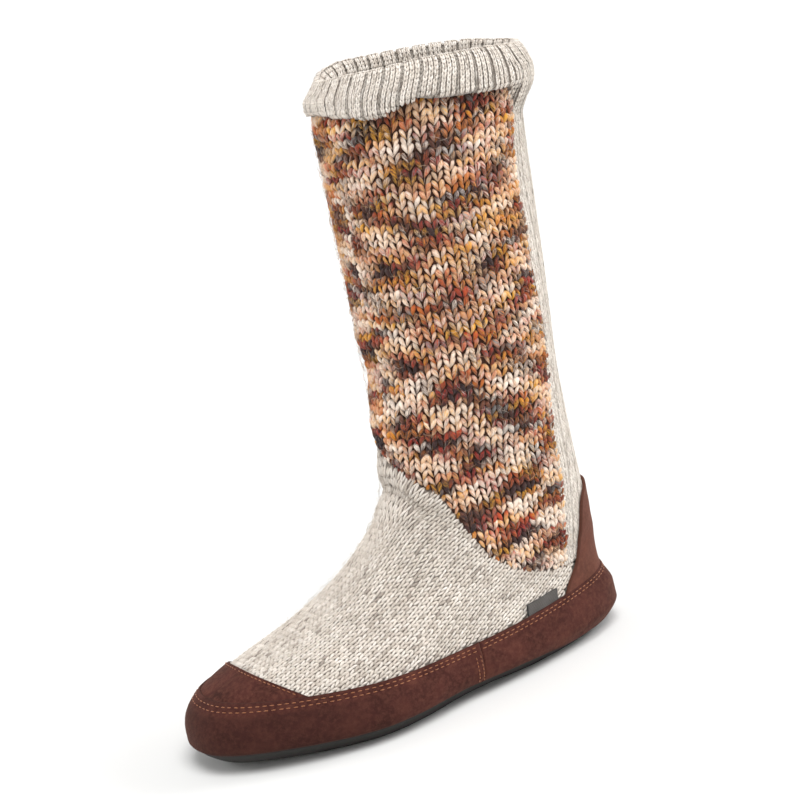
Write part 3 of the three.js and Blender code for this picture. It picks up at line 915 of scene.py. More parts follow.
def make_back():
    shares = np.linspace(0, 1, 10 * BACK_RIBS + 1)[None, :]
    levels = np.linspace(BACK_FOOT, SHAFT_TOP, 60)[:, None]
    levels, shares = np.broadcast_arrays(levels, shares)
    outside, inside = (back_surface(shares, levels, BACK_RISES[key]) for key in ("outside", "inside"))
    points = np.concatenate([outside, inside[::-1]])
    new_piece("back_backing", points, sweep(points, False), BACK_CLOTH_PAINTED_LIGHT, "back_panel")
    z, share, groove = rib_wales(BACK_RIBS, np.arange(BACK_FOOT + 1, SHAFT_TOP, RIB_COURSE))
    rise = BACK_RISES["knit"] + BACK_RISES["groove"] * groove
    middles = back_surface(share, z, rise)
    aside, up = BACK_NUDGE["aside"], BACK_NUDGE["up"]
    across = back_surface(share + aside, z, rise) - back_surface(share - aside, z, rise)
    along = back_surface(share, z + up, rise) - back_surface(share, z - up, rise)
    tones = BACK_LIGHT_AND_SHADE["rib"] - BACK_LIGHT_AND_SHADE["groove"] * groove
    rib_knit("back_knit", middles, across, np.cross(across, along), BACK_WOOL_PAINTED_LIGHT, tones)


CUFF_PATH = spline([  # rise and height, from the inside, over the fold, to the end of the flap
    (-3.1, -33), (-3.2, -24), (-3.2, -14), (-3.0, -6), (-2.2, -1.8), (-0.5, 0), (1.9, -1.8), (4.0, -6),
    (5.1, -12.5), (5.0, -18), (4.7, -24), (4.3, -31), (3.9, -40), (3.6, -52),
], 500)
CUFF_STEPS = arc_lengths(CUFF_PATH)
CUFF_STEPS -= CUFF_STEPS[CUFF_PATH[:, 1].argmax()]
CUFF_TANGENTS = np.gradient(CUFF_PATH, CUFF_STEPS, axis=0)
CUFF_EVEN = even_turns(HEIGHT - 12, 0, math.tau, 1401)
CUFF_INSIDE = -31.0  # where the knit ends inside, as a distance from the fold's top
FLAP_END = np.array([  # degrees of turn, distance from the fold's top to the flap's edge
    (0, 45), (63, 45), (66, 25.5), (80, 24.2), (95, 23.5), (107, 22.2), (114, 20.8), (121, 22.8), (131, 25),
    (145, 27), (165, 24.6), (190, 22.8), (250, 24), (294, 25.5), (297, 45), (360, 45),
], float)
FOLD_LIFT = np.array([  # degrees of turn, how far the fold's top stands over its mean height
    (0, -1), (45, -3), (80, -1), (113, 0), (140, -1.5), (165, -2), (190, -4), (212, -4), (232, -0.5),
    (255, 2.6), (310, 2.4), (340, 1), (360, -1),
], float)
FOLD_LIFT_FADE = (5, 18)  # distances from the fold's top
FRONT_PRESS = dict(  # where the fold rolls inwards
    middle=202, spread=48, share=0.32, lean=5.0, lean_end=16, puff=7.0, puff_full=9, puff_fade=(8, 28))
BACK_TAPER = dict(  # where the fold runs out into the back panel
    full=66, none=70, start=24, end=44, depth=5.6, bulge=2.0, middle=21, spread=9, least=-1.5, flat=0.6,
    press=4.0, corner_turn=(54, 64), corner_at=(21, 29))
HEM = dict(width=2.8, drop=2.4)
CUFF_RIB, CUFF_RIB_SINK = 2.2, 1.9
RIB_LEAN = dict(ribs=0.5, waves=2, phase=0.4, span=(2, 24))
FLAP_WAVES = ((0.5, 5, 0.7), (0.3, 11, 0.0))  # height, how many round the cuff, phase
# The stitches in a groove are lifted, and painted darker as painted shade.
GROOVE_LIFT, GROOVE_SHADE = 0.75, 0.38
CUFF_TONE = 1.15
CUFF_BACKING = -0.7  # distance of the cloth behind the stitches
CUFF_HIDDEN = ((-2.6, -33), (-2.6, -12), (0.6, -9))  # rise and height under the top of the unseen side
FLAP_UNDER = dict(rise=0.8, tuck=4, up=3.5)
CUFF_NUDGE = dict(aside=6e-4, up=0.3)


def cuff_turn(share):
    return np.interp(share % 1, np.linspace(0, 1, len(CUFF_EVEN)), CUFF_EVEN)


def flap_end(share):
    wave = sum(height * np.sin(math.tau * share * count + phase) for height, count, phase in FLAP_WAVES)
    return np.interp(np.degrees(cuff_turn(share)), *FLAP_END.T) + wave


def rib_lean(share, at):
    """Sideways wander of the ribs, in ribs."""
    wave = np.sin(math.tau * share * RIB_LEAN["waves"] + RIB_LEAN["phase"])
    return RIB_LEAN["ribs"] * wave * smoothstep(at, *RIB_LEAN["span"])


def leaned(share, at):
    """Where a rib that starts at a share of the way round has got to."""
    return share - rib_lean(share, at) / CUFF_RIBS


def front_share(degrees):
    return bell(degrees, FRONT_PRESS["middle"], FRONT_PRESS["spread"])


def from_back(degrees):
    return 180 - np.abs(degrees - 180)


def back_share(degrees):
    return 1 - smoothstep(from_back(degrees), BACK_TAPER["full"], BACK_TAPER["none"])


def roll_lean(z):
    """How far the roll leans inwards at the front, at a height under the top."""
    return FRONT_PRESS["lean"] * (1 - smoothstep(-z, 0, FRONT_PRESS["lean_end"]))


def cuff_surface(share, at, away):
    """Point of the cuff at a share of the way round and a distance, outwards, from the fold's top."""
    turn = cuff_turn(share)
    degrees = np.degrees(turn)
    rise = np.interp(at, CUFF_STEPS, CUFF_PATH[:, 0])
    z = np.interp(at, CUFF_STEPS, CUFF_PATH[:, 1])
    tangent = unit(np.stack([np.interp(at, CUFF_STEPS, CUFF_TANGENTS[:, k]) for k in (0, 1)], -1))
    hem = np.clip(1 - (flap_end(share) - at) / HEM["width"], 0, 1)
    front, behind = front_share(degrees), back_share(degrees)
    sinking = smoothstep(at, BACK_TAPER["start"], BACK_TAPER["end"])
    ribs = rib(share * CUFF_RIBS + rib_lean(share, at), CUFF_RIB) - CUFF_RIB_SINK
    bulge = ribs * (1 - BACK_TAPER["flat"] * behind * sinking) + away
    rise = rise * (1 - FRONT_PRESS["share"] * front * (rise > 0)) - HEM["drop"] * hem**2 * (1 - behind)
    puff = smoothstep(-at, 0, FRONT_PRESS["puff_full"]) * (1 - smoothstep(-z, *FRONT_PRESS["puff_fade"]))
    rise = rise - front * (roll_lean(z) + FRONT_PRESS["puff"] * puff)
    corner = smoothstep(from_back(degrees), *BACK_TAPER["corner_turn"])
    corner = corner * smoothstep(at, *BACK_TAPER["corner_at"])
    rise = rise - BACK_TAPER["press"] * behind * corner
    swell = BACK_TAPER["bulge"] * bell(at, BACK_TAPER["middle"], BACK_TAPER["spread"])
    rise = rise + behind * (swell - BACK_TAPER["depth"] * sinking)
    rise = np.where(at > BACK_TAPER["middle"], np.maximum(rise, BACK_TAPER["least"]), rise)
    z = z + np.interp(degrees, *FOLD_LIFT.T) * (1 - smoothstep(np.abs(at), *FOLD_LIFT_FADE))
    return lifted(HEIGHT + z + bulge * tangent[..., 0], turn, rise - bulge * tangent[..., 1])


def make_cuff():
    shares = (np.arange(10 * CUFF_RIBS) / (10 * CUFF_RIBS))[None, :]
    ends = flap_end(shares)
    rows = [np.linspace(1, 0, 30)[:, None] * ends, np.linspace(0, CUFF_INSIDE, 22)[1:, None] + 0 * ends]
    rows = np.concatenate(rows)
    outside = cuff_surface(leaned(shares, rows), rows, CUFF_BACKING)
    turns = cuff_turn(shares[0])
    front = front_share(np.degrees(turns))
    tuck = FLAP_UNDER["tuck"] * back_share(np.degrees(turns))
    under = (*CUFF_HIDDEN, (FLAP_UNDER["rise"] - tuck, FLAP_UNDER["up"] - ends[0]))
    inside = [lifted(HEIGHT + z, turns, rise - front * (1 + roll_lean(z))) for rise, z in under]
    points = np.concatenate([outside, np.stack(inside)])
    new_piece("cuff_backing", points, sweep(points, True), RIB_CLOTH_PAINTED_SHADE, "cuff")
    levels = np.arange(CUFF_INSIDE + 0.6, FLAP_END[:, 1].max() + 2, RIB_COURSE)
    at, share, groove = rib_wales(CUFF_RIBS, levels)
    whole = at < flap_end(leaned(share, at)) - 0.3
    at, share, groove = at[whole], share[whole], groove[whole]

    def knit_point(aside, up, away=0):
        return cuff_surface(leaned(share, at - up) + aside, at - up, away)

    aside, up = CUFF_NUDGE["aside"], CUFF_NUDGE["up"]
    across = knit_point(aside, 0) - knit_point(-aside, 0)
    along = knit_point(0, up) - knit_point(0, -up)
    outward = np.cross(across, along)
    tones = CUFF_TONE - GROOVE_SHADE * groove
    middles = knit_point(0, 0, GROOVE_LIFT * groove)
    rib_knit("cuff_knit", middles, np.cross(along, outward), outward, RIB_WOOL, tones)


# Chunky knit of the leg
HALF_COLUMNS = 16
ROW = 3.9
LEG_SIDES = 6
LEG_SPAN = (-0.9, 0.75)  # from its foot to its head, in rows about the stitch's middle
LEG_REACH = (0.0, 0.42)  # how far its foot and head lie from the column's middle, in columns
LEG_RADIUS = 1.25
SEAM_LAP = 1.5  # how far the chunky knit reaches over the panel
LEG_PROFILE = np.array([0.34, 0.58, 0.82, 0.97, 1.0, 0.86])  # share of the radius, from foot to head
LEG_DROPS = dict(rise=0.1, foot=1.2, foot_end=0.45, head=1.7, head_start=0.68)  # ends in shares of the leg
LEG_FLAT = 0.9
LEG_JITTER = dict(size=0.14, reach=0.1, aside=0.03, up=0.4)
WANDER = ((0.7, 0.55, 0.13), (0.5, 1.3, -0.31))  # height of a wave, and its step for a column and for a row
FIRST_ROW = 48.0
THROAT_DROP = dict(depth=1.2, reach=4.5)
SEAM_DROP = dict(depth=0.9, columns=1.2, fade=(306, 313))  # beside the back panel, up to the cuff
CUFF_DROP = dict(depth=1.0, span=(312, 317), start=306, least=-1.7)  # under the cuff
SHAFT_RISES = (-1.1, -2.3)  # outside and inside of the cloth behind the stitches
SHAFT_SEAM = dict(depth=0.9, share=0.03)
SHAFT_GUESS = 150.0  # height to start from in placing the cloth
DYE_LIGHT = (0.95, 1.22)
YARN_COLOURS = {  # colour, chance as a main ply and as a fleck, how it follows dark stretches
    "cream": ("#fae7d6", 0.19, 0.2, -1), "peach": ("#f0c59c", 0.15, 0.08, -0.8),
    "tan": ("#d9a173", 0.11, 0.04, -0.3), "caramel": ("#cd7c38", 0.15, 0.1, 0),
    "gold": ("#e4a438", 0.12, 0.24, -0.2), "rust": ("#ba562d", 0.12, 0.16, 0.2),
    "red": ("#b4392b", 0.03, 0.22, 0.3), "grey": ("#c4b9b2", 0.06, 0.02, -0.2),
    "steel": ("#8c8b88", 0.09, 0.02, 0.4), "mauve": ("#937361", 0.04, 0, 0.6),
    "brown": ("#764b39", 0.1, 0.05, 0.9), "umber": ("#492c26", 0.1, 0.08, 1.1),
    "charcoal": ("#35282a", 0.08, 0.04, 1.3),
}
YARN_LINEAR = np.array([linear(colour[0]) for colour in YARN_COLOURS.values()])
YARN_SHARES, FLECK_SHARES, YARN_MOODS = np.array([colour[1:] for colour in YARN_COLOURS.values()]).T
RUN_LENGTHS, RUN_SHARES = [1, 2, 3, 4, 5], [0.38, 0.32, 0.17, 0.09, 0.04]
YARN_PLIES = {"first": (YARN_SHARES, 2.5), "second": (YARN_SHARES, 2.0), "third": (FLECK_SHARES, 0.9)}
YARN_MOOD = dict(waves=6, columns=(12, 26), rows=(6, 12), calm=1.2)


def dyed_rows(mood, chances, follows):
    """Colour at each leg's end along each row of one ply: runs of a dye, darker or lighter by stretches."""
    colours = np.zeros((*mood.shape, 3))
    for row, column_moods in enumerate(mood):
        column = 0
        while column < len(column_moods):
            run = int(rng.choice(RUN_LENGTHS, p=RUN_SHARES))
            shares = chances * np.exp(follows * YARN_MOODS * column_moods[column])
            pick = rng.choice(len(shares), p=shares / shares.sum())
            colours[row, column:column + run] = YARN_LINEAR[pick] * rng.uniform(*DYE_LIGHT)
            column += run
    return colours


def yarn_mood(rows, columns):
    """Smooth stretches of darker and lighter yarn over rows and columns."""
    row, column = np.meshgrid(np.arange(rows), np.arange(columns), indexing="ij")
    mood = 0
    for _ in range(YARN_MOOD["waves"]):
        phase = rng.uniform(0, 1, 2)
        across = np.sin(math.tau * (column / rng.uniform(*YARN_MOOD["columns"]) + phase[0]))
        mood = mood + across * np.sin(math.tau * (row / rng.uniform(*YARN_MOOD["rows"]) + phase[1]))
    return mood / YARN_MOOD["calm"]


def shaft_turn(sign, z, distance):
    """Turn at a distance round from the rear seam of the chunky knit."""
    start = arc_of(sign, z, turn_at(line_x("back", z), z))
    return turn_of(sign, z, start - SEAM_LAP + distance)


def column_pitch(sign, z):
    level = np.maximum(z, THROAT[:, 1].max())
    start = arc_of(sign, level, turn_at(line_x("back", level), level))
    return (arc_of(sign, level, math.pi) - start + SEAM_LAP) / HALF_COLUMNS


def make_shaft():
    shares, up = np.linspace(0, 1, 121)[None, :], np.linspace(0, 1, 56)[:, None]
    levels = np.full((up.size, shares.size), SHAFT_GUESS)
    for _ in range(12):  # the seam's turn goes by the height, and the lower edge's height by the turn
        half = turn_at(line_x("back", levels), levels)
        turns = lerp(half, math.tau - half, shares)
        levels = lerp(throat(turns) + 0.2, SHAFT_TOP, up)
    seam = 1 - smoothstep(np.minimum(shares, 1 - shares), 0, SHAFT_SEAM["share"])
    soft = slouch(levels, turns) - SHAFT_SEAM["depth"] * seam
    points = wall_points(levels, turns, *(rise + soft for rise in SHAFT_RISES))
    new_piece("shaft_backing", points, sweep(points, False), YARN_BACKING_PAINTED_SHADE, "shaft")
    for sign, name in ((1, "shaft_knit_outer"), (-1, "shaft_knit_inner")):
        make_chunky_side(sign, name)


def make_chunky_side(sign, name):
    """Every leg of the chunky stitches of one side, as a tapered tube."""
    rows = np.arange(FIRST_ROW, SHAFT_TOP + 2, ROW)
    share = np.linspace(0, 1, len(LEG_PROFILE) + 2)
    row, column, way = (v.ravel() for v in np.meshgrid(
        np.arange(len(rows)), np.arange(HALF_COLUMNS), (-1, 1), indexing="ij"))
    count = len(row)
    size = rng.normal(1, LEG_JITTER["size"], count) * (1 + 0.1 * np.sin(row * 2.1 + column * 0.8))
    reach = lerp(*LEG_REACH, share[None, :]) * rng.normal(1, LEG_JITTER["reach"], (count, 1))
    off = (column + 0.5 + rng.normal(0, LEG_JITTER["aside"], count))[:, None] + way[:, None] * reach
    wander = sum(height * np.sin(across * column + up * row) for height, across, up in WANDER)
    z = rows[row] + wander + rng.normal(0, LEG_JITTER["up"], count)
    z = z[:, None] + ROW * lerp(*LEG_SPAN, share[None, :])
    turn = shaft_turn(sign, z, off * column_pitch(sign, z))
    edge = throat(turn)
    keep = (z[:, -2] > edge[:, -2] + 0.6) & (z[:, 3] < SHAFT_TOP)
    row, column, way, size, off, z, edge = (v[keep] for v in (row, column, way, size, off, z, edge))
    z = np.maximum(z, edge - 0.2 + 0.15 * np.arange(len(share)))
    turn = shaft_turn(sign, z, off * column_pitch(sign, z))
    rise = LEG_DROPS["rise"] - LEG_DROPS["foot"] * (1 - smoothstep(share, 0, LEG_DROPS["foot_end"]))
    rise = rise - LEG_DROPS["head"] * smoothstep(share, LEG_DROPS["head_start"], 1) + slouch(z, turn)
    rise -= THROAT_DROP["depth"] * (1 - smoothstep(z - throat(turn), 0, THROAT_DROP["reach"]))
    beside_seam = 1 - smoothstep(column + 0.5 * way, 0, SEAM_DROP["columns"])
    rise -= SEAM_DROP["depth"] * beside_seam[:, None] * (1 - smoothstep(z, *SEAM_DROP["fade"]))
    rise -= CUFF_DROP["depth"] * smoothstep(z, *CUFF_DROP["span"])
    rise = np.where(z > CUFF_DROP["start"], np.maximum(rise, CUFF_DROP["least"]), rise)
    thick = LEG_RADIUS * size[:, None] * LEG_PROFILE[None, :]
    points, faces, place = tubes(lifted(z, turn, rise), skin_normal(z, turn), thick, LEG_SIDES, LEG_FLAT)
    piece = new_piece(name, points, faces, YARN)
    per_leg = len(place) // len(row)
    up = np.tile(place[:per_leg, 2], len(row))[:, None]
    near, far = 2 * column + (way > 0), 2 * column + (way > 0) + 1
    first, last = np.where(way > 0, far, near), np.where(way > 0, near, far)
    mood = yarn_mood(len(rows), 2 * HALF_COLUMNS + 1)
    for attribute, ply in YARN_PLIES.items():
        dye = dyed_rows(mood, *ply)
        ends = [np.repeat(dye[row, end], per_leg, axis=0) for end in (first, last)]
        set_colours(piece, attribute, lerp(*ends, smoothstep(up, 0.3, 0.9)))
    set_vectors(piece, "strand", place)
    set_vectors(piece, "seed", np.repeat(rng.uniform(0, 40, (len(row), 3)), per_leg, axis=0))


# Stray fibres
FUZZ = dict(length=(3.0, 7.5), height=(0.5, 1.9), radius=0.065, bend=0.25)
FUZZ_TRIES, FUZZ_HEIGHTS = 6000, (50, SHAFT_TOP - 10)
FUZZ_RISES = dict(chunky=0.9, grey=-0.1)


def make_fuzz(name, z, turn, rise, tints):
    """Thin arched fibres that lie loose on the knit, each in a direction of its own."""
    count = len(z)
    base, outward = lifted(z, turn, rise)[:, None], skin_normal(z, turn)[:, None]
    way = rng.normal(0, 1, (count, 1, 3))
    way = unit(way - outward * (way * outward).sum(-1, keepdims=True))
    share = np.linspace(0, 1, 5)[:, None]
    length, height = (rng.uniform(*FUZZ[key], (count, 1, 1)) for key in ("length", "height"))
    bend = rng.normal(0, FUZZ["bend"], (count, 1, 1)) * np.cross(way, outward)
    paths = base + length * share * (way + bend * share) + outward * height * np.sin(math.pi * share)
    thick = np.full((count, 3), FUZZ["radius"])
    points, faces, place = tubes(paths, np.broadcast_to(outward, paths.shape), thick, 3)
    piece = new_piece(name, points, faces, FOOT_WOOL)
    set_colours(piece, "tint", np.repeat(tints, len(place) // count, axis=0))


def make_loose_fibres():
    turn, z = rng.uniform(0, math.tau, FUZZ_TRIES), rng.uniform(*FUZZ_HEIGHTS, FUZZ_TRIES)
    chunky = (z > throat(turn) + 3) & (skin(z, turn)[:, 0] > line_x("back", z) + 2)
    tints = YARN_LINEAR[rng.choice(len(YARN_LINEAR), chunky.sum(), p=YARN_SHARES / YARN_SHARES.sum())]
    make_fuzz("shaft_fuzz", z[chunky], turn[chunky], FUZZ_RISES["chunky"], tints)
    x = skin(z, turn)[:, 0]
    grey = (z < throat(turn) - 4) & (x < line_x("cap", z) - 8) & (x > line_x("counter", z) + 8)
    make_fuzz("foot_fuzz", z[grey], turn[grey], FUZZ_RISES["grey"], fleck_tints(grey.sum()))


# Suede
def suede_rise(x, y, z):
    """Slight unevenness of the leather."""
    return 0.16 * np.sin(x * 0.11 + 1) * np.sin(z * 0.23 + y * 0.06) + 0.08 * np.sin(x * 0.31 + z * 0.4)


BAND_SECTION = [  # rise, height over the edge, which edge, darkness: the cut edges' own, and painted shade in the stitch grooves
    (0.5, 0.4, "foot", 0.7), (1.3, 0.0, "foot", 0.6), (1.9, 0.4, "foot", 0.3), (2.25, 1.2, "foot", 0.1),
    *((2.35 + 0.25 * math.sin(k / 3), 2.5 + 1.45 * k, "foot", 0) for k in range(6)),
    (2.6, -12.0, "top", 0), (2.6, -10.5, "top", 0), (2.55, -9.2, "top", 0), (2.5, -8.0, "top", 0),
    (2.4, -6.4, "top", 0), (2.3, -4.8, "top", 0), (2.05, -3.8, "top", 0.1), (2.3, -2.85, "top", 0),
    (2.05, -1.9, "top", 0.1), (2.25, -1.0, "top", 0.05), (2.1, -0.4, "top", 0.2), (1.7, -0.1, "top", 0.5),
    (1.0, 0.0, "top", 0.7), (0.4, -0.5, "top", 0.8), (0.3, -8.0, "top", 0),
]


def band_point(turn, section):
    rise, off, edge, _ = section
    level = np.full(np.shape(turn), BAND_LEVEL)
    for _ in range(4):
        x = skin(level, turn)[..., 0]
        level = line_z("band_" + edge, x) + off
    place = skin(level, turn)
    return lifted(level, turn, rise + suede_rise(place[..., 0], place[..., 1], level) * min(1, rise))


TOE_PAINTED_SHADE = dict(depth=0.46, span=(130, 225))  # painted shade: the band darkens towards the toe
BAND_LEVEL, BAND_GAP = 20.0, 0.002  # height of the band's middle, half the gap at a join as a turn
BAND_COLUMNS = dict(front=261, rear=201)
PATCHES = {  # middle turn, edge line, heights, thickness, how much painted light lightens it
    "toe_cap": (math.pi, "cap", (30.5, 42.9), 1.0, 0.0),
    "heel_counter": (0, "counter", (31.5, 88.1), 1.4, 0.25),
}
PATCH_FOOT, PATCH_INSIDE = 0.3, 0.25  # rises of the edge and of the inside
PATCH_ROUND = 1.3
PATCH_EDGE = dict(dark=0.8, full=1.6, fade=1.1)


def make_bands():
    seam = float(turn_at(SIDE_SEAM, BAND_LEVEL))
    spans = {
        "front": (seam + BAND_GAP, math.tau - seam - BAND_GAP),
        "rear": (-seam + BAND_GAP, seam - BAND_GAP),
    }
    edges = np.array([section[3] for section in BAND_SECTION])
    # Painted shade: the band darkens towards the toe, fully on its lower part and less near its top edge.
    toe_shade_share = np.array([1.0 if section[2] == "foot" or section[1] < -5 else 0.3 for section in BAND_SECTION])
    for end, span in spans.items():
        turns = even_turns(BAND_LEVEL, *span, BAND_COLUMNS[end])
        points = np.stack([band_point(turns, section) for section in BAND_SECTION])
        name = f"band_{end}_suede"
        piece = new_piece(name, points, sweep(points, False), SUEDE, "band_" + end)
        toe = TOE_PAINTED_SHADE["depth"] * smoothstep(points[..., 0], *TOE_PAINTED_SHADE["span"])
        set_shares(piece, "edge", np.clip(edges[:, None] + toe_shade_share[:, None] * toe, 0, 1))


def make_patch(node, middle, edge_line, heights, thick, pale):
    """Suede patch about a middle turn, as wide as its edge line lets it be at each height."""
    levels = lerp(*heights, 1 - (1 - np.linspace(0, 1, 60)) ** 1.8)
    reach = turn_at(line_x(edge_line, levels), levels)
    reach = reach if middle == 0 else math.pi - reach
    shares = np.sin(np.linspace(-1, 1, 81) * math.pi / 2)
    shares = np.sign(shares) * np.abs(shares) ** 0.8
    turns = middle + shares[:, None] * reach[None, :]
    z = np.broadcast_to(levels[None, :], turns.shape)
    place = skin(z, turns)
    arc = arc_lengths(place)
    inset = np.minimum(arc, arc[-1] - arc)
    curl = np.sqrt(1 - (1 - np.clip(inset / PATCH_ROUND, 0, 1)) ** 2)
    rise = PATCH_FOOT + thick * curl + suede_rise(place[..., 0], place[..., 1], z) * curl
    outer, inner = lifted(z, turns, rise), lifted(z, turns, PATCH_INSIDE)
    points = np.concatenate([inner, outer[::-1]])
    piece = new_piece(node + "_suede", points, sweep(points, False), SUEDE, node)
    dark = np.clip(PATCH_EDGE["full"] - inset / PATCH_EDGE["fade"], 0, 1) * PATCH_EDGE["dark"]
    set_shares(piece, "edge", np.concatenate([dark, dark[::-1]]))
    # The pale share is painted light: it lightens the heel counter, where the light from behind falls.
    set_shares(piece, "pale", np.full(2 * dark.size, pale))


def make_patches():
    for node, settings in PATCHES.items():
        make_patch(node, *settings)


# Thread
STITCH_PITCH, STITCH_LENGTH, STITCH_THICK = 3.8, 2.8, 0.52
STITCH_ARCH, STITCH_SINK = 0.34, 0.12
BAND_ROWS = dict(offs=(-1.9, -3.8), rise=2.0, level=28.0, ends=(0.014, 0.004))
CAP_ROW = dict(levels=(33.5, 42.2), inset=3.2, rise=1.32, pitch=3.0, length=2.1)
SEAM_ROWS = dict(levels=(9.5, 26.0), offs=(1.4, 4.4), rise=2.62, pitch=2.2, length=1.7)


def values_at(at, arc, table):
    return np.stack([np.interp(at, arc, column) for column in table.T], -1)


def stitch_row(points, outward, pitch=STITCH_PITCH, length=STITCH_LENGTH):
    """Paths and outward directions of short stitches along a line of points."""
    arc = arc_lengths(points)
    starts = np.arange(0.5, arc[-1] - length, pitch)
    starts = starts + rng.normal(0, 0.12, len(starts))
    share = np.linspace(0, 1, 7)
    at = starts[:, None] + length * share[None, :]
    ways = unit(values_at(at, arc, outward))
    lift = STITCH_ARCH * np.sin(math.pi * share) - STITCH_SINK
    return values_at(at, arc, points) + ways * lift[None, :, None], ways


def make_stitches():
    rows = []
    seam = float(turn_at(SIDE_SEAM, BAND_LEVEL))
    front, rear = BAND_ROWS["ends"]
    for off in BAND_ROWS["offs"]:
        for start, stop in ((seam + front, math.tau - seam - front), (-seam + rear, seam - rear)):
            turns = even_turns(BAND_ROWS["level"], start, stop, 900)
            line = band_point(turns, (BAND_ROWS["rise"], off, "top", 0))
            rows.append(stitch_row(line, skin_normal(np.full(len(turns), BAND_ROWS["level"]), turns)))
    levels = np.linspace(*CAP_ROW["levels"], 200)
    reach = math.pi - turn_at(line_x("cap", levels) + CAP_ROW["inset"], levels)
    for sign in (1, -1):
        turns = math.pi + sign * reach
        place = skin(levels, turns)
        line = lifted(levels, turns, CAP_ROW["rise"] + suede_rise(place[:, 0], place[:, 1], levels))
        rows.append(stitch_row(line, skin_normal(levels, turns), CAP_ROW["pitch"], CAP_ROW["length"]))
    levels = np.linspace(*SEAM_ROWS["levels"], 120)
    for off in SEAM_ROWS["offs"]:
        for sign in (1, -1):
            turns = sign * turn_at(SIDE_SEAM + off, levels)
            line, outward = lifted(levels, turns, SEAM_ROWS["rise"]), skin_normal(levels, turns)
            rows.append(stitch_row(line, outward, SEAM_ROWS["pitch"], SEAM_ROWS["length"]))
    paths = np.concatenate([path for path, _ in rows])
    ways = np.concatenate([way for _, way in rows])
    swell = 0.5 * STITCH_THICK * np.sin(math.pi * np.linspace(0.14, 0.86, 5)) ** 0.5
    points, faces, place = tubes(paths, ways, np.tile(swell, (len(paths), 1)), 8)
    piece = new_piece("band_stitches", points, faces, THREAD)
    set_vectors(piece, "strand", place)


# Tab
TAB_FOOT, TAB_REACH = -3.0, TAB_TOP - 31.2  # under and over the band's top edge
TAB_FLARE = dict(foot=0.5, rise=1.1, span=(0, 6), wave=0.15)
TAB_HALF = 0.45  # half its thickness
# Painted shadow along the tab's ends and, fainter, along its top edge: widths, and the top's darkness.
TAB_PAINTED_SHADOW = dict(side=1.2, top=0.8, top_dark=0.6)


def make_tab():
    """Plain folded tape, sewn in under the band's top edge and standing a little off the knit."""
    x = np.linspace(*TAB_SPAN, 61)[None, :]
    up = np.linspace(TAB_FOOT, TAB_REACH, 15)[:, None]
    level = line_z("band_top", x) + up
    turns = turn_at(x, level)
    flare = TAB_FLARE["foot"] + TAB_FLARE["rise"] * smoothstep(up, *TAB_FLARE["span"])
    flare = flare + TAB_FLARE["wave"] * np.sin(x * 0.5)
    curl = np.sqrt(1 - np.clip(up - (TAB_REACH - 1), 0, 1) ** 2)
    outer, inner = (lifted(level, turns, flare + side * TAB_HALF * curl) for side in (1, -1))
    points = np.concatenate([inner, outer[::-1]])
    piece = new_piece("side_tab_tape", points, sweep(points, False), TAPE, "side_tab")
    near = np.clip(1 - np.minimum(x - TAB_SPAN[0], TAB_SPAN[1] - x) / TAB_PAINTED_SHADOW["side"], 0, 1)
    top = np.clip(1 - (up.max() - up) / TAB_PAINTED_SHADOW["top"], 0, 1)
    dark = np.maximum(np.broadcast_to(near, level.shape), TAB_PAINTED_SHADOW["top_dark"] * top)
    set_shares(piece, "edge", np.concatenate([dark, dark[::-1]]))


# Stage
FLOOR_FLAT, FLOOR_EDGE, FLOOR_RISE = 7.0, 11.0, 3.5  # metres
FLOOR_INNER, FLOOR_SINK = (0.4, 1.5, 4), 0.0002


def make_floor():
    """Wide pale floor that curves up far away, so that no horizon shows."""
    radii = np.concatenate([FLOOR_INNER, np.linspace(FLOOR_FLAT, FLOOR_EDGE, 14)])
    angles = np.linspace(0, math.tau, 97)[:-1]
    heights = FLOOR_RISE * smoothstep(radii, FLOOR_FLAT, FLOOR_EDGE + 2) * 2 - FLOOR_SINK
    rings = np.stack(np.broadcast_arrays(
        radii[:, None] * np.cos(angles), radii[:, None] * np.sin(angles), heights[:, None]), -1)
    faces = ring_faces(rings)[:, ::-1].tolist() + [list(range(len(angles)))]
    mesh = bpy.data.meshes.new("floor")
    mesh.from_pydata(rings.reshape(-1, 3).tolist(), [], faces)
    mesh.polygons.foreach_set("use_smooth", np.ones(len(mesh.polygons), bool))
    mesh.materials.append(floor_material())
    floor = bpy.data.objects.new("floor", mesh)
    bpy.context.scene.collection.objects.link(floor)


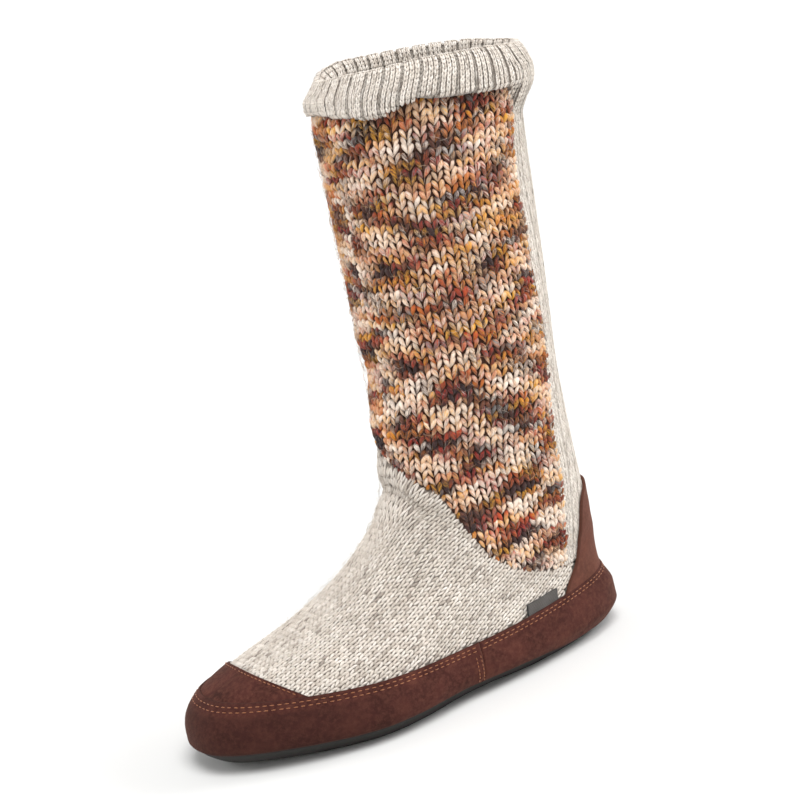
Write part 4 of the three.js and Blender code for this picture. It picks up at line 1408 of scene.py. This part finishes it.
CAMERA = dict(azimuth=149.97, elevation=12.84, distance=971.89, target=(110.24, 2.06, 160.62), roll=-10.71)
FOCAL_PIXELS, FRAME_PIXELS, SENSOR = 1812.38, 800, 36  # the sensor in mm


def make_camera():
    azimuth, elevation, roll = (math.radians(CAMERA[key]) for key in ("azimuth", "elevation", "roll"))
    level = math.cos(elevation)
    back = Vector((math.sin(azimuth) * level, -math.cos(azimuth) * level, math.sin(elevation)))
    right = Vector((0, 0, 1)).cross(back).normalized()
    up = back.cross(right)
    right, up = right * math.cos(roll) + up * math.sin(roll), up * math.cos(roll) - right * math.sin(roll)
    data = bpy.data.cameras.new("camera")
    data.sensor_width = SENSOR
    data.lens = FOCAL_PIXELS / FRAME_PIXELS * SENSOR
    data.clip_end = 50
    camera = bpy.data.objects.new("camera", data)
    bpy.context.scene.collection.objects.link(camera)
    location = Vector(to_frame(CAMERA["target"])) + back * CAMERA["distance"] / 1000
    camera.matrix_world = Matrix((right, up, back)).transposed().to_4x4()
    camera.location = location
    bpy.context.scene.camera = camera


WORLD_STRENGTH = 0.42
SUNS = {  # direction the light comes from, strength, spread in degrees
    "key": ((0.1, 0.5, 1.0), 2.5, 35),
    "rim": ((-0.9, 0.35, 0.45), 2.6, 30),
    "edge": ((0.8, -0.65, 0.4), 1.5, 30),
}


def make_light():
    scene = bpy.context.scene
    world = bpy.data.worlds.new("studio")
    scene.world = world
    world.use_nodes = True
    world.node_tree.nodes["Background"].inputs["Color"].default_value = (1, 1, 1, 1)
    world.node_tree.nodes["Background"].inputs["Strength"].default_value = WORLD_STRENGTH
    for name, (source, strength, spread) in SUNS.items():
        data = bpy.data.lights.new(name, "SUN")
        data.energy = strength
        data.angle = math.radians(spread)
        light = bpy.data.objects.new(name, data)
        scene.collection.objects.link(light)
        light.rotation_euler = Vector(source).to_track_quat("Z", "Y").to_euler()
    scene.view_settings.view_transform = "Standard"


make_camera()
make_outsole()
make_footbed()
make_lining()
make_foot()
make_shaft()
make_back()
make_cuff()
make_loose_fibres()
make_bands()
make_patches()
make_stitches()
make_tab()
make_floor()
make_light()
